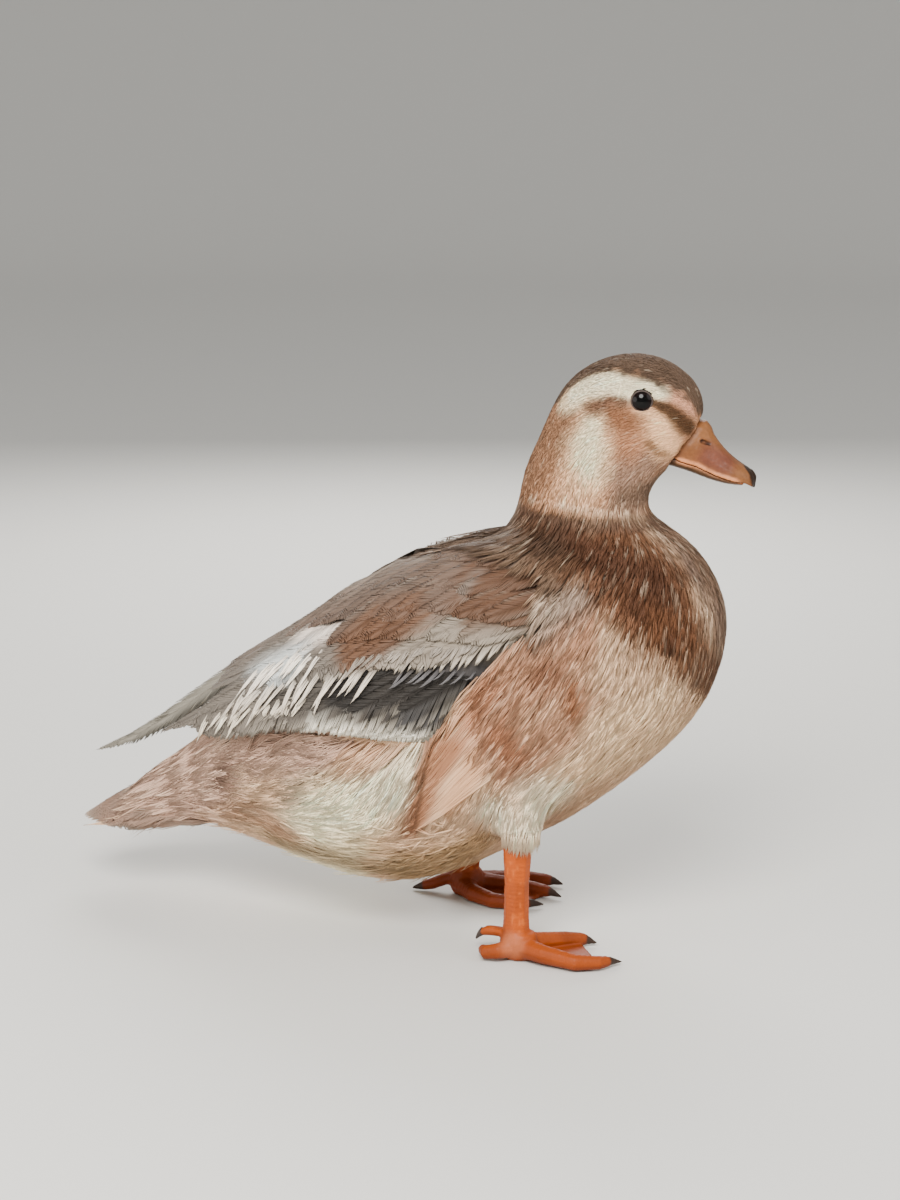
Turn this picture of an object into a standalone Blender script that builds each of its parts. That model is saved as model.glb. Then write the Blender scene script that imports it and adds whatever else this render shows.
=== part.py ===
"""A bantam call duck standing still, life size, as a museum model.

Lengths are in millimetres until a mesh is made, which turns them into metres. +X is the way the
duck faces, +Y its left and +Z up. Heights are above the floor it stands on, and x is measured from
the heel of its right foot. The finished model is moved so that its origin is the middle of its
outline on the floor.
"""

import itertools
import math

import bmesh
import bpy
import numpy as np
from mathutils import Vector

MM = 0.001
GAP = 0.3

# Head turned to the duck's left, about an upright axis through the neck
HEAD_TURN = math.radians(13)
TURN_AXIS_X = 18.0

# The body's sections from rump to bill: back (x, z), belly or throat (x, z), half of the width
RUMP_TO_COLLAR = [
    (-180, 60, -172, 36, 19),
    (-165, 74, -150, 33.5, 25.5),
    (-148, 89, -128, 28.5, 33.5),
    (-125, 105, -104, 22.5, 42.5),
    (-100, 124, -80, 17.5, 50.5),
    (-76, 142, -57, 18, 55.5),
    (-56, 157, -33, 26, 58),
    (-42, 167, -10, 38, 58.5),
    (-33, 173.5, 14, 52.5, 58),
    (-27.5, 175.8, 37, 70.5, 56.5),
    (-24, 177, 58, 90, 54),
    (-21.5, 178.6, 73, 110, 50.5),
    (-19.5, 180, 80, 132, 46),
    (-17.8, 181.8, 79.5, 152, 40),
    (-16, 183.8, 72, 168.6, 34.5),
    (-14.6, 186.3, 61, 179.8, 29.5),
    (-13, 189.5, 48, 188.2, 25.5),
]
COLLAR_TO_JAW = [
    (-11.6, 193, 45.2, 191.8, 24.2),
    (-10.2, 199, 45.3, 197.5, 23.2),
    (-8.2, 206.7, 47, 201.5, 22.4),
    (-5.2, 214.5, 49.4, 204.6, 21.8),
    (-1.4, 223, 52, 207, 21.4),
]
JAW_TO_BILL = [
    (2.4, 232.5, 53.2, 207.6, 21),
    (7.5, 242.3, 54.4, 208.1, 20.6),
    (15, 250, 55.3, 208.5, 20.2),
    (25, 255.3, 56, 208.9, 19.8),
    (37, 257.8, 56.6, 209.3, 19.2),
    (48.8, 256, 57.1, 209.7, 17.8),
    (57, 251.8, 57.5, 210.2, 15.4),
    (63.2, 245.8, 57.8, 210.8, 12.8),
    (66.8, 238.5, 58, 211.6, 10.4),
    (67.4, 232, 58.2, 212.8, 8.6),
]
TORSO_RINGS = 27
NECK_RINGS = 6
HEAD_RINGS = 16
FLESH_SIDES = 26
LOW_BULGE = 0.08

# Thighs run down inside the flesh to just above the hocks: steps from the hock and radii
THIGH_STEPS = [(-12, 34, 0.8), (-5, 16, 0.9), (1, -2, 1.0), (0.5, -15, 1.0)]
THIGH_RADII = (26, 22, 12.5, 8.2)

# Bill, in the turned head's own frame
UPPER_BILL = [
    (58, 230, 50, 216, 7.4),
    (68.8, 228.9, 58, 212.4, 8.2),
    (72, 223.2, 64.7, 210.4, 8.1),
    (75.8, 217.9, 72.3, 206.8, 8.4),
    (80.5, 213.4, 79.3, 204.6, 8.9),
    (85, 210.1, 85, 203.4, 8.3),
    (88.2, 208, 88.4, 201.4, 5.8),
    (90, 205.4, 89.4, 200.8, 2.2),
]
LOWER_BILL = [
    (50, 215.6, 49.4, 210.6, 6.8),
    (58, 212.0, 57.2, 208.6, 7.6),
    (64.7, 210.0, 62.6, 206.8, 7.5),
    (72.3, 206.4, 70.4, 204, 7.8),
    (79.3, 204.2, 78, 202.2, 7.6),
    (84.8, 203.05, 84, 201.6, 5.6),
]
BILL_SIDES = 10
BILL_FULLNESS = 0.8
NOSTRIL = (68.4, 6.4, 220.4)
NOSTRIL_SIZE = (2.3, 0.8, 0.75)

# Eyes and lids, in the turned head's own frame
EYE = (41.4, 14.2, 239.4)
EYE_RADIUS = 6.2
LID_RADIUS = 5.1
LID_DEPTH = 4.1
LID_THICKNESS = 0.75
LID_STRETCH = 1.6
LID_SINK = 0.9
LID_SIDES = (16, 6)
BALL_SIDES = (14, 9)

# Folded wings lie on one smooth form over the back: x, height of its axis, height above it,
# half of its width
WING_FORM = [
    (45, 100, 86, 56),
    (20, 98, 88, 65.5),
    (-10, 98, 83, 66),
    (-35, 98, 77, 64.5),
    (-60, 98, 68, 63),
    (-85, 97, 55, 59),
    (-105, 95, 43, 53),
    (-125, 91.5, 33, 45),
    (-145, 86.5, 25, 35),
    (-165, 79, 17, 24),
    (-190, 69.5, 10, 13),
    (-225, 58, 5, 6),
]
# Lowest edge of the folded wing, tucked under the flank in front: x, z
WING_EDGE = [
    (36, 164),
    (24, 152),
    (2, 139),
    (-13, 121),
    (-22, 108),
    (-33, 97),
    (-60, 94.5),
    (-105, 94),
    (-135, 88),
]
# Upper edge of the folded wing: x, distance from the middle of the back
WING_TOP = [
    (36, 36),
    (20, 35),
    (0, 24),
    (-20, 12),
    (-45, 7),
    (-120, 5),
]
WING_FRONT = 36.0
WING_BACK = -122.0
# The wing's core: how deep its outside lies, its thickness in front and behind, how much thinner
# its edges are, its least angle round the form, and its steps along and round
CORE_COVER = 4.0
CORE_THICKNESS = (15.0, 6.5)
CORE_THINNING = 0.45
CORE_LEAST_ANGLE = 0.12
CORE_STEPS = (15, 7)

VANE_STEPS = 4
VANE_THICKNESS = 0.8
VANE_TAPER = (1.3, 0.8)
TIP_SCATTER = 1.2
SHINGLE_TILT = 0.12
# Tiers of a folded wing: how many feathers, roots and tips of the first and last as (x, angle
# round the form), their widths, how far out their root, middle and tip lie, how narrow the tip is
WING_TIERS = [
    (8, ((-14, 1.22), (-92, 0.9)), ((-56, 1.62), (-150, 1.5)), (14, 14), (-8, -2.8, -2), 0.5),
    (4, ((-84, 0.55), (-78, 0.22)), ((-158, 1.25), (-168, 0.45)), (15, 15), (-8, -1.2, -1), 0.7),
    (7, ((6, 1.02), (-66, 0.76)), ((-34, 1.44), (-112, 1.2)), (15, 14), (-8, -0.8, 0), 0.5),
    (6, ((26, 0.92), (-46, 0.58)), ((-10, 1.2), (-88, 0.9)), (15, 14), (-7.5, 0.6, 1.2), 0.5),
    (5, ((10, 0.72), (-66, 0.34)), ((-44, 0.9), (-130, 0.58)), (16, 15), (-7, 1.8, 2.2), 0.5),
    (4, ((4, 0.52), (-48, 0.22)), ((-40, 0.6), (-108, 0.34)), (16, 14), (-6.5, 2.8, 3.2), 0.5),
]
# The longest flight feathers reach further back on the left than on the right
PRIMARY_REACH = {"wing_right": -176.0, "wing_left": -219.0}
PRIMARIES = 4
PRIMARY_ROOTS = ((-72, 1.34), (-84, 0.95))
PRIMARY_SPREAD = 34.0
PRIMARY_ANGLES = (1.36, 0.85)
PRIMARY_WIDTHS = (10, 11)
PRIMARY_LIFTS = (-8, -5.5, -3)
PRIMARY_NARROWING = 0.9

# Tail: its root's sections as for the body, then a fan of pairs from the middle out, and shorter
# feathers over and under it as (root z, change outwards, tip z, change outwards, facing, sag)
TAIL_SECTIONS = [
    (-180, 60, -172, 36, 20),
    (-185, 55.5, -179, 34.6, 19.6),
    (-191, 50, -186, 34.4, 18),
    (-197, 44.5, -193.5, 34.6, 13.5),
]
TAIL_SIDES = 16
TAIL_RINGS = 7
TAIL_PAIRS = 6
TAIL_FEATHER_ROOT = (-183, 11, 46.5)
TAIL_ROOT_FALL = 1.1
TAIL_TIP = (-223.0, 29.0)
TAIL_TIP_FALL = 0.7
TAIL_FAN = 27.0
TAIL_FAN_CURVE = 15.0
TAIL_WIDTH = 11
TAIL_COVERTS = [(53, -3, 38.5, -4, 1, 2), (38.5, 1.5, 27.5, 4, -1, -1)]
TAIL_COVERT_XS = (-184, -209)
TAIL_COVERT_SPREAD = 14.0
TAIL_COVERT_WIDTH = 13

# Legs: x, y of each ankle, height of the foot's top, place and radius of the shank's top
ANKLE_HEIGHT = 12.0
RIGHT_ANKLE = (0.0, -41.0)
RIGHT_HOCK = (-0.5, -37.0, 66.0)
LEFT_ANKLE = (-47.0, 33.0)
LEFT_HOCK = (-36.0, 32.0, 56.0)
SHANK_SHARES = (0, 0.25, 0.55, 0.8, 1)
SHANK_RADII = (7.2, 6.6, 5.4, 5.6, 6.5)
WEB_THICKNESS = 1.8
FOOT_BALL = (1.5, 0, 6.2)
FOOT_BALL_SIZE = (8.6, 7.4, 9.2)
# Blocks that trim the joints: to each side, and beyond the longest toe
LEG_TRIM = 30
FOOT_TRIM = 80
ANKLE_TRIM = 14

# Toes in the foot's own frame: x ahead of the ankle, y away from the body, z, then their radii.
# Each ends in a claw.
LONG_RADII = (5.4, 4.2, 3.7, 3.1, 2.2, 0.6)
RIGHT_TOES = {
    "middle": ([(0, 0, 5.5), (14, 6.5, 5), (29, 9, 3.8), (38, 4.5, 3.2), (42, 0, 2.9), (46, -5, 1.2)],
               LONG_RADII),
    "inner": ([(0, -2, 5), (9, -11, 4.4), (17, -18, 3.6), (23, -22, 3), (26, -23, 2.6), (30, -24, 1.2)],
              LONG_RADII),
    "outer": ([(0, 2, 5), (-6, 8, 4.6), (-11, 8, 3.6), (-14, 3, 3)], (4.4, 3.6, 3.2, 2.2)),
    "back": ([(-2, -1, 10), (-8, -2, 10.4), (-13, -3, 9.6), (-16.5, -3.4, 8.2), (-19, -3.6, 5)],
             (3.4, 2.8, 2.4, 1.7, 0.5)),
}
RIGHT_WEBS = [[(2, 1), (13, 6), (28, 8.5), (35, 5), (33, -6), (24, -20), (16, -17), (8, -9)]]
LEFT_TOES = {
    "middle": ([(0, 0, 5.5), (14, 4, 5), (27, 6, 3.8), (37, 5, 3.2), (41, 4.5, 2.9), (46, 4, 1.2)],
               LONG_RADII),
    "inner": ([(0, -2, 5), (8, -11, 4.2), (19, -16, 3.4), (30, -14.5, 2.9), (36, -11, 2.4), (41, -8, 1.2)],
              LONG_RADII),
    "outer": ([(0, 1, 5), (11, 11, 4.4), (24, 19, 3.4), (33, 21, 2.9), (37, 21.5, 2.6), (42, 21.5, 1.2)],
              LONG_RADII),
    "back": ([(-2, 0, 8), (-9, -1, 6), (-15, -2, 3.4), (-19, -2.5, 2.4), (-24, -3, 1)],
             (3.6, 3, 2.8, 2.4, 0.8)),
}
LEFT_WEBS = [
    [(2, 0), (14, 4), (27, 6), (36, 4.5), (33, -4), (33, -12), (19, -15.5), (8, -10)],
    [(2, 1), (10, 10), (23, 18.5), (32, 20), (33, 13), (36, 6), (27, 5), (14, 3)],
]


def smooth_rows(rows, count):
    """Rows of numbers, as many as count, on a smooth curve through the given rows."""
    rows = np.array(rows, float)
    found = []
    for place in np.linspace(0, len(rows) - 1, count):
        k = min(int(place), len(rows) - 2)
        t = place - k
        p1, p2 = rows[k], rows[k + 1]
        p0 = rows[max(k - 1, 0)]
        p3 = rows[min(k + 2, len(rows) - 1)]
        bend = 2 * p0 - 5 * p1 + 4 * p2 - p3
        twist = 3 * (p1 - p2) + p3 - p0
        found.append(0.5 * (2 * p1 + (p2 - p0) * t + bend * t**2 + twist * t**3))
    return found


def turned(point, share=1.0):
    """A point of the head's own frame, turned with the head by a share of its turn."""
    angle = HEAD_TURN * share
    x, y, z = point[0] - TURN_AXIS_X, point[1], point[2]
    return (
        TURN_AXIS_X + x * math.cos(angle) - y * math.sin(angle),
        x * math.sin(angle) + y * math.cos(angle),
        z,
    )


def section_ring(section, sides, low_bulge=0.0, turn=0.0, shift=0.0):
    """One closed ring round the body, between a point of its back and one of its belly."""
    top_x, top_z, low_x, low_z, half_width = section
    middle = np.array([(top_x + low_x) / 2, (top_z + low_z) / 2])
    half = np.array([(top_x - low_x) / 2, (top_z - low_z) / 2])
    ahead = np.array([half[1], -half[0]]) / np.hypot(*half)
    ring = []
    for k in range(sides):
        angle = 2 * math.pi * k / sides
        up, out = math.cos(angle), math.sin(angle)
        x, z = middle + half * up + ahead * shift
        y = half_width * out * (1 - low_bulge * up)
        ring.append(turned((x, y, z), turn))
    return ring


def mesh_object(name, points, faces):
    """A closed mesh object from points in millimetres, with its faces pointing out."""
    made = bmesh.new()
    vertices = [made.verts.new(Vector(point) * MM) for point in points]
    for face in faces:
        made.faces.new([vertices[k] for k in face])
    bmesh.ops.recalc_face_normals(made, faces=made.faces)
    return finished(name, made)


def finished(name, made):
    mesh = bpy.data.meshes.new(name)
    made.to_mesh(mesh)
    made.free()
    item = bpy.data.objects.new(name, mesh)
    bpy.context.scene.collection.objects.link(item)
    return item


def loft(name, rings):
    """A closed skin through rings of as many points each, with flat ends."""
    sides = len(rings[0])
    points = [point for ring in rings for point in ring]
    faces = [list(range(sides))[::-1]]
    for row in range(len(rings) - 1):
        for k in range(sides):
            a, b = row * sides + k, row * sides + (k + 1) % sides
            faces.append([a, b, b + sides, a + sides])
    faces.append([len(points) - sides + k for k in range(sides)])
    return mesh_object(name, points, faces)


def slab(name, outer, inner):
    """A closed plate between two grids of points, split into triangles alike on both faces."""
    rows, columns = len(outer), len(outer[0])
    points = [point for grid in (outer, inner) for row in grid for point in row]
    below = rows * columns
    faces = []
    for i in range(rows - 1):
        for j in range(columns - 1):
            a = i * columns + j
            b, c, d = a + 1, a + columns + 1, a + columns
            for face in ((a, b, c), (a, c, d)):
                faces.append(face)
                faces.append([k + below for k in face[::-1]])
    rim = [j for j in range(columns)]
    rim += [i * columns + columns - 1 for i in range(1, rows)]
    rim += [(rows - 1) * columns + j for j in range(columns - 2, -1, -1)]
    rim += [i * columns for i in range(rows - 2, 0, -1)]
    for a, b in zip(rim, rim[1:] + rim[:1]):
        faces.append([b, a, a + below, b + below])
    return mesh_object(name, points, faces)


def tapered_tube(name, path, radii, resolution=2):
    """A round tube along a path, with a radius at each of its points."""
    curve = bpy.data.curves.new(name, "CURVE")
    curve.dimensions = "3D"
    curve.bevel_depth = MM
    curve.bevel_resolution = resolution
    curve.use_fill_caps = True
    spline = curve.splines.new("POLY")
    spline.points.add(len(path) - 1)
    for point, place, radius in zip(spline.points, path, radii):
        point.co = (*(Vector(place) * MM), 1)
        point.radius = radius
    guide = bpy.data.objects.new(name, curve)
    bpy.context.scene.collection.objects.link(guide)
    bpy.context.view_layer.update()
    graph = bpy.context.evaluated_depsgraph_get()
    mesh = bpy.data.meshes.new_from_object(guide.evaluated_get(graph))
    bpy.data.objects.remove(guide)
    made = bmesh.new()
    made.from_mesh(mesh)
    bpy.data.meshes.remove(mesh)
    bmesh.ops.remove_doubles(made, verts=made.verts, dist=0.00001)
    bmesh.ops.recalc_face_normals(made, faces=made.faces)
    return finished(name, made)


def ball(name, centre, size, turn=0.0):
    """An egg of three radii, its longest side along the body or along the turned head."""
    made = bmesh.new()
    bmesh.ops.create_uvsphere(made, u_segments=BALL_SIDES[0], v_segments=BALL_SIDES[1], radius=MM)
    bmesh.ops.scale(made, vec=size, verts=made.verts)
    spin = turn and HEAD_TURN
    for vertex in made.verts:
        x, y, z = vertex.co
        vertex.co = (x * math.cos(spin) - y * math.sin(spin), x * math.sin(spin) + y * math.cos(spin), z)
    place = turned(centre, turn)
    bmesh.ops.translate(made, vec=Vector(place) * MM, verts=made.verts)
    return finished(name, made)


def block(place, reach, low, high):
    """A block round an upright line at place, as far as reach to each side, from low to high."""
    made = bmesh.new()
    bmesh.ops.create_cube(made, size=1)
    bmesh.ops.scale(made, vec=Vector((2 * reach, 2 * reach, high - low)) * MM, verts=made.verts)
    bmesh.ops.translate(made, vec=Vector((*place, (low + high) / 2)) * MM, verts=made.verts)
    return finished("block", made)


def keep_largest(item):
    """Keeps the largest closed surface of a mesh, which drops loose scraps and sealed hollows."""
    made = bmesh.new()
    made.from_mesh(item.data)
    groups = []
    seen = set()
    for start in made.faces:
        if start in seen:
            continue
        seen.add(start)
        group, waiting = [], [start]
        while waiting:
            face = waiting.pop()
            group.append(face)
            for edge in face.edges:
                for other in edge.link_faces:
                    if other not in seen:
                        seen.add(other)
                        waiting.append(other)
        groups.append(group)
    largest = max(groups, key=len)
    spare = [face for group in groups if group is not largest for face in group]
    bmesh.ops.delete(made, geom=spare, context="FACES")
    made.to_mesh(item.data)
    made.free()


def boolean(item, others, operation):
    """Joins or cuts an object with others, which are used up."""
    helpers = bpy.data.collections.new("helpers")
    for other in others:
        helpers.objects.link(other)
    modifier = item.modifiers.new("boolean", "BOOLEAN")
    modifier.operation = operation
    modifier.operand_type = "COLLECTION"
    modifier.collection = helpers
    modifier.solver = "MANIFOLD"
    bpy.context.view_layer.update()
    graph = bpy.context.evaluated_depsgraph_get()
    mesh = bpy.data.meshes.new_from_object(item.evaluated_get(graph))
    item.modifiers.clear()
    item.data = mesh
    for other in others:
        bpy.data.objects.remove(other)
    bpy.data.collections.remove(helpers)
    keep_largest(item)


def grown(item, by=GAP):
    """A copy of a closed mesh object, its surface moved out by a small distance."""
    made = bmesh.new()
    made.from_mesh(item.data)
    made.normal_update()
    moves = [vertex.normal * (by * MM) for vertex in made.verts]
    for vertex, move in zip(made.verts, moves):
        vertex.co += move
    return finished(item.name + "_grown", made)


# Flesh: torso, neck and head
def flesh(name, sections, rings, turns, shifts):
    rows = smooth_rows(sections, rings)
    found = []
    for k, row in enumerate(rows):
        share = k / (rings - 1)
        turn = turns[0] + (turns[1] - turns[0]) * share
        shift = {0: shifts[0], rings - 1: shifts[1]}.get(k, 0.0)
        bulge = LOW_BULGE if name == "torso" else 0.0
        bulge *= min(1, 4 * share, 4 * (1 - share))
        found.append(section_ring(row, FLESH_SIDES, bulge, turn, shift))
    return loft(name, found)


def make_torso():
    torso = flesh("torso", RUMP_TO_COLLAR, TORSO_RINGS, (0, 0), (0, -GAP / 2))
    thighs = []
    for side, hock in (("right", RIGHT_HOCK), ("left", LEFT_HOCK)):
        x, y, z = hock
        path = [(x + ahead, y * inward, z + up) for ahead, up, inward in THIGH_STEPS]
        thighs.append(tapered_tube("thigh_" + side, path, THIGH_RADII, 3))
    boolean(torso, thighs, "UNION")
    return torso


def make_neck():
    sections = [RUMP_TO_COLLAR[-1], *COLLAR_TO_JAW]
    return flesh("neck", sections, NECK_RINGS, (0, 1), (GAP / 2, -GAP / 2))


def make_head():
    sections = [COLLAR_TO_JAW[-1], *JAW_TO_BILL]
    return flesh("head", sections, HEAD_RINGS, (1, 1), (GAP / 2, 0))


def lid_ring(side):
    """A round lid that stands a little proud of the head round one eye."""
    made = bmesh.new()
    sides, thick = LID_SIDES
    centre = Vector((EYE[0], side * (EYE[1] + LID_DEPTH), EYE[2]))
    rings = []
    for k in range(sides):
        angle = 2 * math.pi * k / sides
        ring = []
        for j in range(thick):
            lean = 2 * math.pi * j / thick
            radius = LID_RADIUS + LID_THICKNESS * math.cos(lean)
            depth = LID_THICKNESS * LID_STRETCH * math.sin(lean) - LID_SINK
            place = centre + Vector((radius * math.cos(angle), side * depth, radius * math.sin(angle)))
            ring.append(made.verts.new(Vector(turned(place)) * MM))
        rings.append(ring)
    for k in range(sides):
        for j in range(thick):
            a, b = rings[k], rings[(k + 1) % sides]
            made.faces.new([a[j], b[j], b[(j + 1) % thick], a[(j + 1) % thick]])
    bmesh.ops.recalc_face_normals(made, faces=made.faces)
    return finished("lid", made)


def make_eye(name, side):
    return ball(name, (EYE[0], side * EYE[1], EYE[2]), (EYE_RADIUS,) * 3, 1.0)


def bill_ring(row, upper):
    """A section of half a bill: flat where it meets the other half, rounded away from it."""
    top_x, top_z, low_x, low_z, half_width = row
    flat, round_side = ((low_x, low_z), (top_x, top_z)) if upper else ((top_x, top_z), (low_x, low_z))
    places = []
    for k in range(BILL_SIDES + 1):
        angle = math.pi * (k / BILL_SIDES - 0.5)
        places.append((math.sin(angle), math.cos(angle) ** BILL_FULLNESS))
    places += [(0.5, 0.0), (0.0, 0.0), (-0.5, 0.0)]
    ring = []
    for across, share in places:
        x = flat[0] + (round_side[0] - flat[0]) * share
        z = flat[1] + (round_side[1] - flat[1]) * share
        ring.append(turned((x, half_width * across, z)))
    return ring


def make_bill(name, sections):
    rows = smooth_rows(sections, 2 * len(sections) - 1)
    return loft(name, [bill_ring(row, name == "bill_upper") for row in rows])


# Folded wings
def form_row(x):
    rows = np.array(WING_FORM[::-1], float)
    return [float(np.interp(x, rows[:, 0], rows[:, k])) for k in (1, 2, 3)]


def edge_angle(x):
    """Angle round the wing form of the folded wing's lowest edge."""
    rows = np.array(WING_EDGE[::-1], float)
    axis, height, _ = form_row(x)
    lowest = float(np.interp(x, rows[:, 0], rows[:, 1]))
    return math.acos(max(-1.0, min(1.0, (lowest - axis) / height)))


def top_angle(x):
    """Angle round the wing form of the upper edge, which leaves a strip of the back bare."""
    rows = np.array(WING_TOP[::-1], float)
    out = float(np.interp(x, rows[:, 0], rows[:, 1]))
    return math.asin(min(0.9, out / form_row(x)[2]))


def on_wing(x, angle, out, side):
    """A point over the wing form, and the direction out of it."""
    axis, height, half_width = form_row(x)
    normal = Vector((0, side * math.sin(angle) / half_width, math.cos(angle) / height)).normalized()
    place = Vector((x, side * half_width * math.sin(angle), axis + height * math.cos(angle)))
    return place + normal * out, normal


def wing_core(side):
    along, round_it = CORE_STEPS
    outer, inner = [], []
    for i in range(along):
        share = i / (along - 1)
        x = WING_FRONT + (WING_BACK - WING_FRONT) * share
        low, top = edge_angle(x), top_angle(x)
        top = min(top, low - CORE_LEAST_ANGLE)
        depth = CORE_THICKNESS[0] + (CORE_THICKNESS[1] - CORE_THICKNESS[0]) * share
        cover = CORE_COVER * min(1, 3 * share)
        rows = ([], [])
        for j in range(round_it):
            across = j / (round_it - 1)
            angle = top + (low - top) * across
            thin = 1 - CORE_THINNING * abs(2 * across - 1) ** 3
            rows[0].append(tuple(on_wing(x, angle, -cover, side)[0]))
            rows[1].append(tuple(on_wing(x, angle, -cover - depth * thin, side)[0]))
        outer.append(rows[0])
        inner.append(rows[1])
    return slab("core", outer, inner)


def feather(places, width, tilt, narrow):
    """One vane along a path of (place, direction out, direction across), root first.

    tilt raises one edge over the next feather, and narrow draws in the tip.
    """
    outline = (0.62, 1, 1 - 0.35 * narrow, 0.55 - 0.45 * narrow)
    outer, inner = [], []
    for k, (place, normal, across) in enumerate(places):
        t = k / (len(places) - 1)
        half = width / 2 * float(np.interp(t, (0, 0.35, 0.75, 1), outline))
        thick = VANE_THICKNESS * (VANE_TAPER[0] + (VANE_TAPER[1] - VANE_TAPER[0]) * t)
        left = place + across * half + normal * (tilt * half)
        right = place - across * half - normal * (tilt * half)
        outer.append([tuple(left), tuple(right)])
        inner.append([tuple(left - normal * thick), tuple(right - normal * thick)])
    return slab("feather", outer, inner)


def wing_feather(side, root, tip, width, lift, narrow):
    """A feather on the wing form. root and tip are (x, angle).

    lift is how far out of the form its root, middle and tip lie, and narrow draws in its tip.
    """

    def spot(t):
        x = root[0] + (tip[0] - root[0]) * t
        angle = root[1] + (tip[1] - root[1]) * t
        return on_wing(x, angle, float(np.interp(t, (0, 0.45, 1), lift)), side)

    places = []
    for k in range(VANE_STEPS + 1):
        t = k / VANE_STEPS
        place, normal = spot(t)
        along = (spot(t + 0.02)[0] - spot(t - 0.02)[0]).normalized()
        places.append((place, normal, along.cross(normal).normalized() * side))
    return feather(places, width, SHINGLE_TILT, narrow)


def tier(side, count, roots, tips, width, lift, seed, narrow):
    """A row of wing feathers whose roots and tips run evenly from one end to the other."""
    draw = np.random.default_rng(seed)
    made = []
    for k in range(count):
        t = k / (count - 1)
        root = [roots[0][j] + (roots[1][j] - roots[0][j]) * t for j in (0, 1)]
        tip = [tips[0][j] + (tips[1][j] - tips[0][j]) * t for j in (0, 1)]
        tip[0] += float(draw.normal(0, TIP_SCATTER))
        size = width[0] + (width[1] - width[0]) * t
        made.append(wing_feather(side, root, tip, size, lift, narrow))
    return made


def make_wing(name, side):
    wing = wing_core(side)
    wing.name = name
    reach = PRIMARY_REACH[name]
    made = []
    for count, roots, tips, width, lift, narrow in WING_TIERS:
        made += tier(side, count, roots, tips, width, lift, len(made), narrow)
    tips = ((reach + PRIMARY_SPREAD, PRIMARY_ANGLES[0]), (reach, PRIMARY_ANGLES[1]))
    made += tier(side, PRIMARIES, PRIMARY_ROOTS, tips, PRIMARY_WIDTHS, PRIMARY_LIFTS, 1, PRIMARY_NARROWING)
    boolean(wing, made, "UNION")
    return wing


# Tail
def tail_feather(root, tip, width, side, sag, narrow=0.4):
    """A feather of the tail, its outer edge raised over the next one out."""
    start, end = Vector(root), Vector(tip)
    along = (end - start).normalized()
    across = Vector((0, 1, 0)) - along * along.y
    across.normalize()
    up = across.cross(along).normalized()
    up = up if up.z > 0 else -up
    places = []
    for k in range(VANE_STEPS + 1):
        t = k / VANE_STEPS
        places.append((start.lerp(end, t) + up * (sag * math.sin(math.pi * t)), up, across))
    return feather(places, width, SHINGLE_TILT * side, narrow)


def make_tail():
    rings = [section_ring(row, TAIL_SIDES) for row in smooth_rows(TAIL_SECTIONS, TAIL_RINGS)]
    rings[0] = section_ring(TAIL_SECTIONS[0], TAIL_SIDES, shift=-GAP)
    tail = loft("tail", rings)
    root_x, root_y, root_z = TAIL_FEATHER_ROOT
    tip_x, tip_z = TAIL_TIP
    made = []
    for side in (-1, 1):
        for k in range(TAIL_PAIRS):
            out = (k + 0.5) / TAIL_PAIRS
            root = (root_x, side * root_y * out, root_z - TAIL_ROOT_FALL * k)
            tip = (tip_x + TAIL_FAN_CURVE * out**2, side * TAIL_FAN * out, tip_z - TAIL_TIP_FALL * k)
            made.append(tail_feather(root, tip, TAIL_WIDTH, side, 1))
        for out, (high, higher, low, lower, facing, sag) in itertools.product((0.25, 0.75), TAIL_COVERTS):
            spread = side * TAIL_COVERT_SPREAD * out
            root = (TAIL_COVERT_XS[0], 0.85 * spread, high + higher * out)
            tip = (TAIL_COVERT_XS[1] + 5 * out, spread, low + lower * (out - 0.25))
            made.append(tail_feather(root, tip, TAIL_COVERT_WIDTH, side * facing, sag, 0.8))
    boolean(tail, made, "UNION")
    return tail


# Legs and feet
def shank_path(ankle, hock):
    low = Vector((*ankle, ANKLE_HEIGHT - 6))
    high = Vector(hock)
    return [tuple(high.lerp(low, share)) for share in SHANK_SHARES]


def make_leg(name, ankle, hock):
    leg = tapered_tube(name, shank_path(ankle, hock), SHANK_RADII)
    below = block(ankle, LEG_TRIM, -LEG_TRIM, ANKLE_HEIGHT)
    boolean(leg, [below], "DIFFERENCE")
    return leg


def place_on_floor(ankle, point, height):
    return (ankle[0] + point[0], ankle[1] + point[1], height)


def toe(name, ankle, side, bends, radii):
    path = [place_on_floor(ankle, (x, side * y), z) for x, y, z in bends]
    return tapered_tube(name, path, radii)


def web(name, ankle, side, outline):
    made = bmesh.new()
    ring = [made.verts.new(Vector(place_on_floor(ankle, (x, side * y), 0)) * MM) for x, y in outline]
    face = made.faces.new(ring)
    grown_up = bmesh.ops.extrude_face_region(made, geom=[face])
    raised = [item for item in grown_up["geom"] if isinstance(item, bmesh.types.BMVert)]
    bmesh.ops.translate(made, vec=(0, 0, WEB_THICKNESS * MM), verts=raised)
    bmesh.ops.recalc_face_normals(made, faces=made.faces)
    return finished(name, made)


def make_foot(name, ankle, side, toes, webs):
    x, y, z = FOOT_BALL
    foot = ball(name, (ankle[0] + x, ankle[1] + y, z), FOOT_BALL_SIZE)
    pieces = [toe(part, ankle, side, *bends) for part, bends in toes.items()]
    pieces += [web("web", ankle, side, outline) for outline in webs]
    boolean(foot, pieces, "UNION")
    below = block(ankle, FOOT_TRIM, -FOOT_TRIM, 0)
    above = block(ankle, ANKLE_TRIM, ANKLE_HEIGHT - GAP, ANKLE_HEIGHT + ANKLE_TRIM)
    boolean(foot, [below, above], "DIFFERENCE")
    return foot


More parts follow.
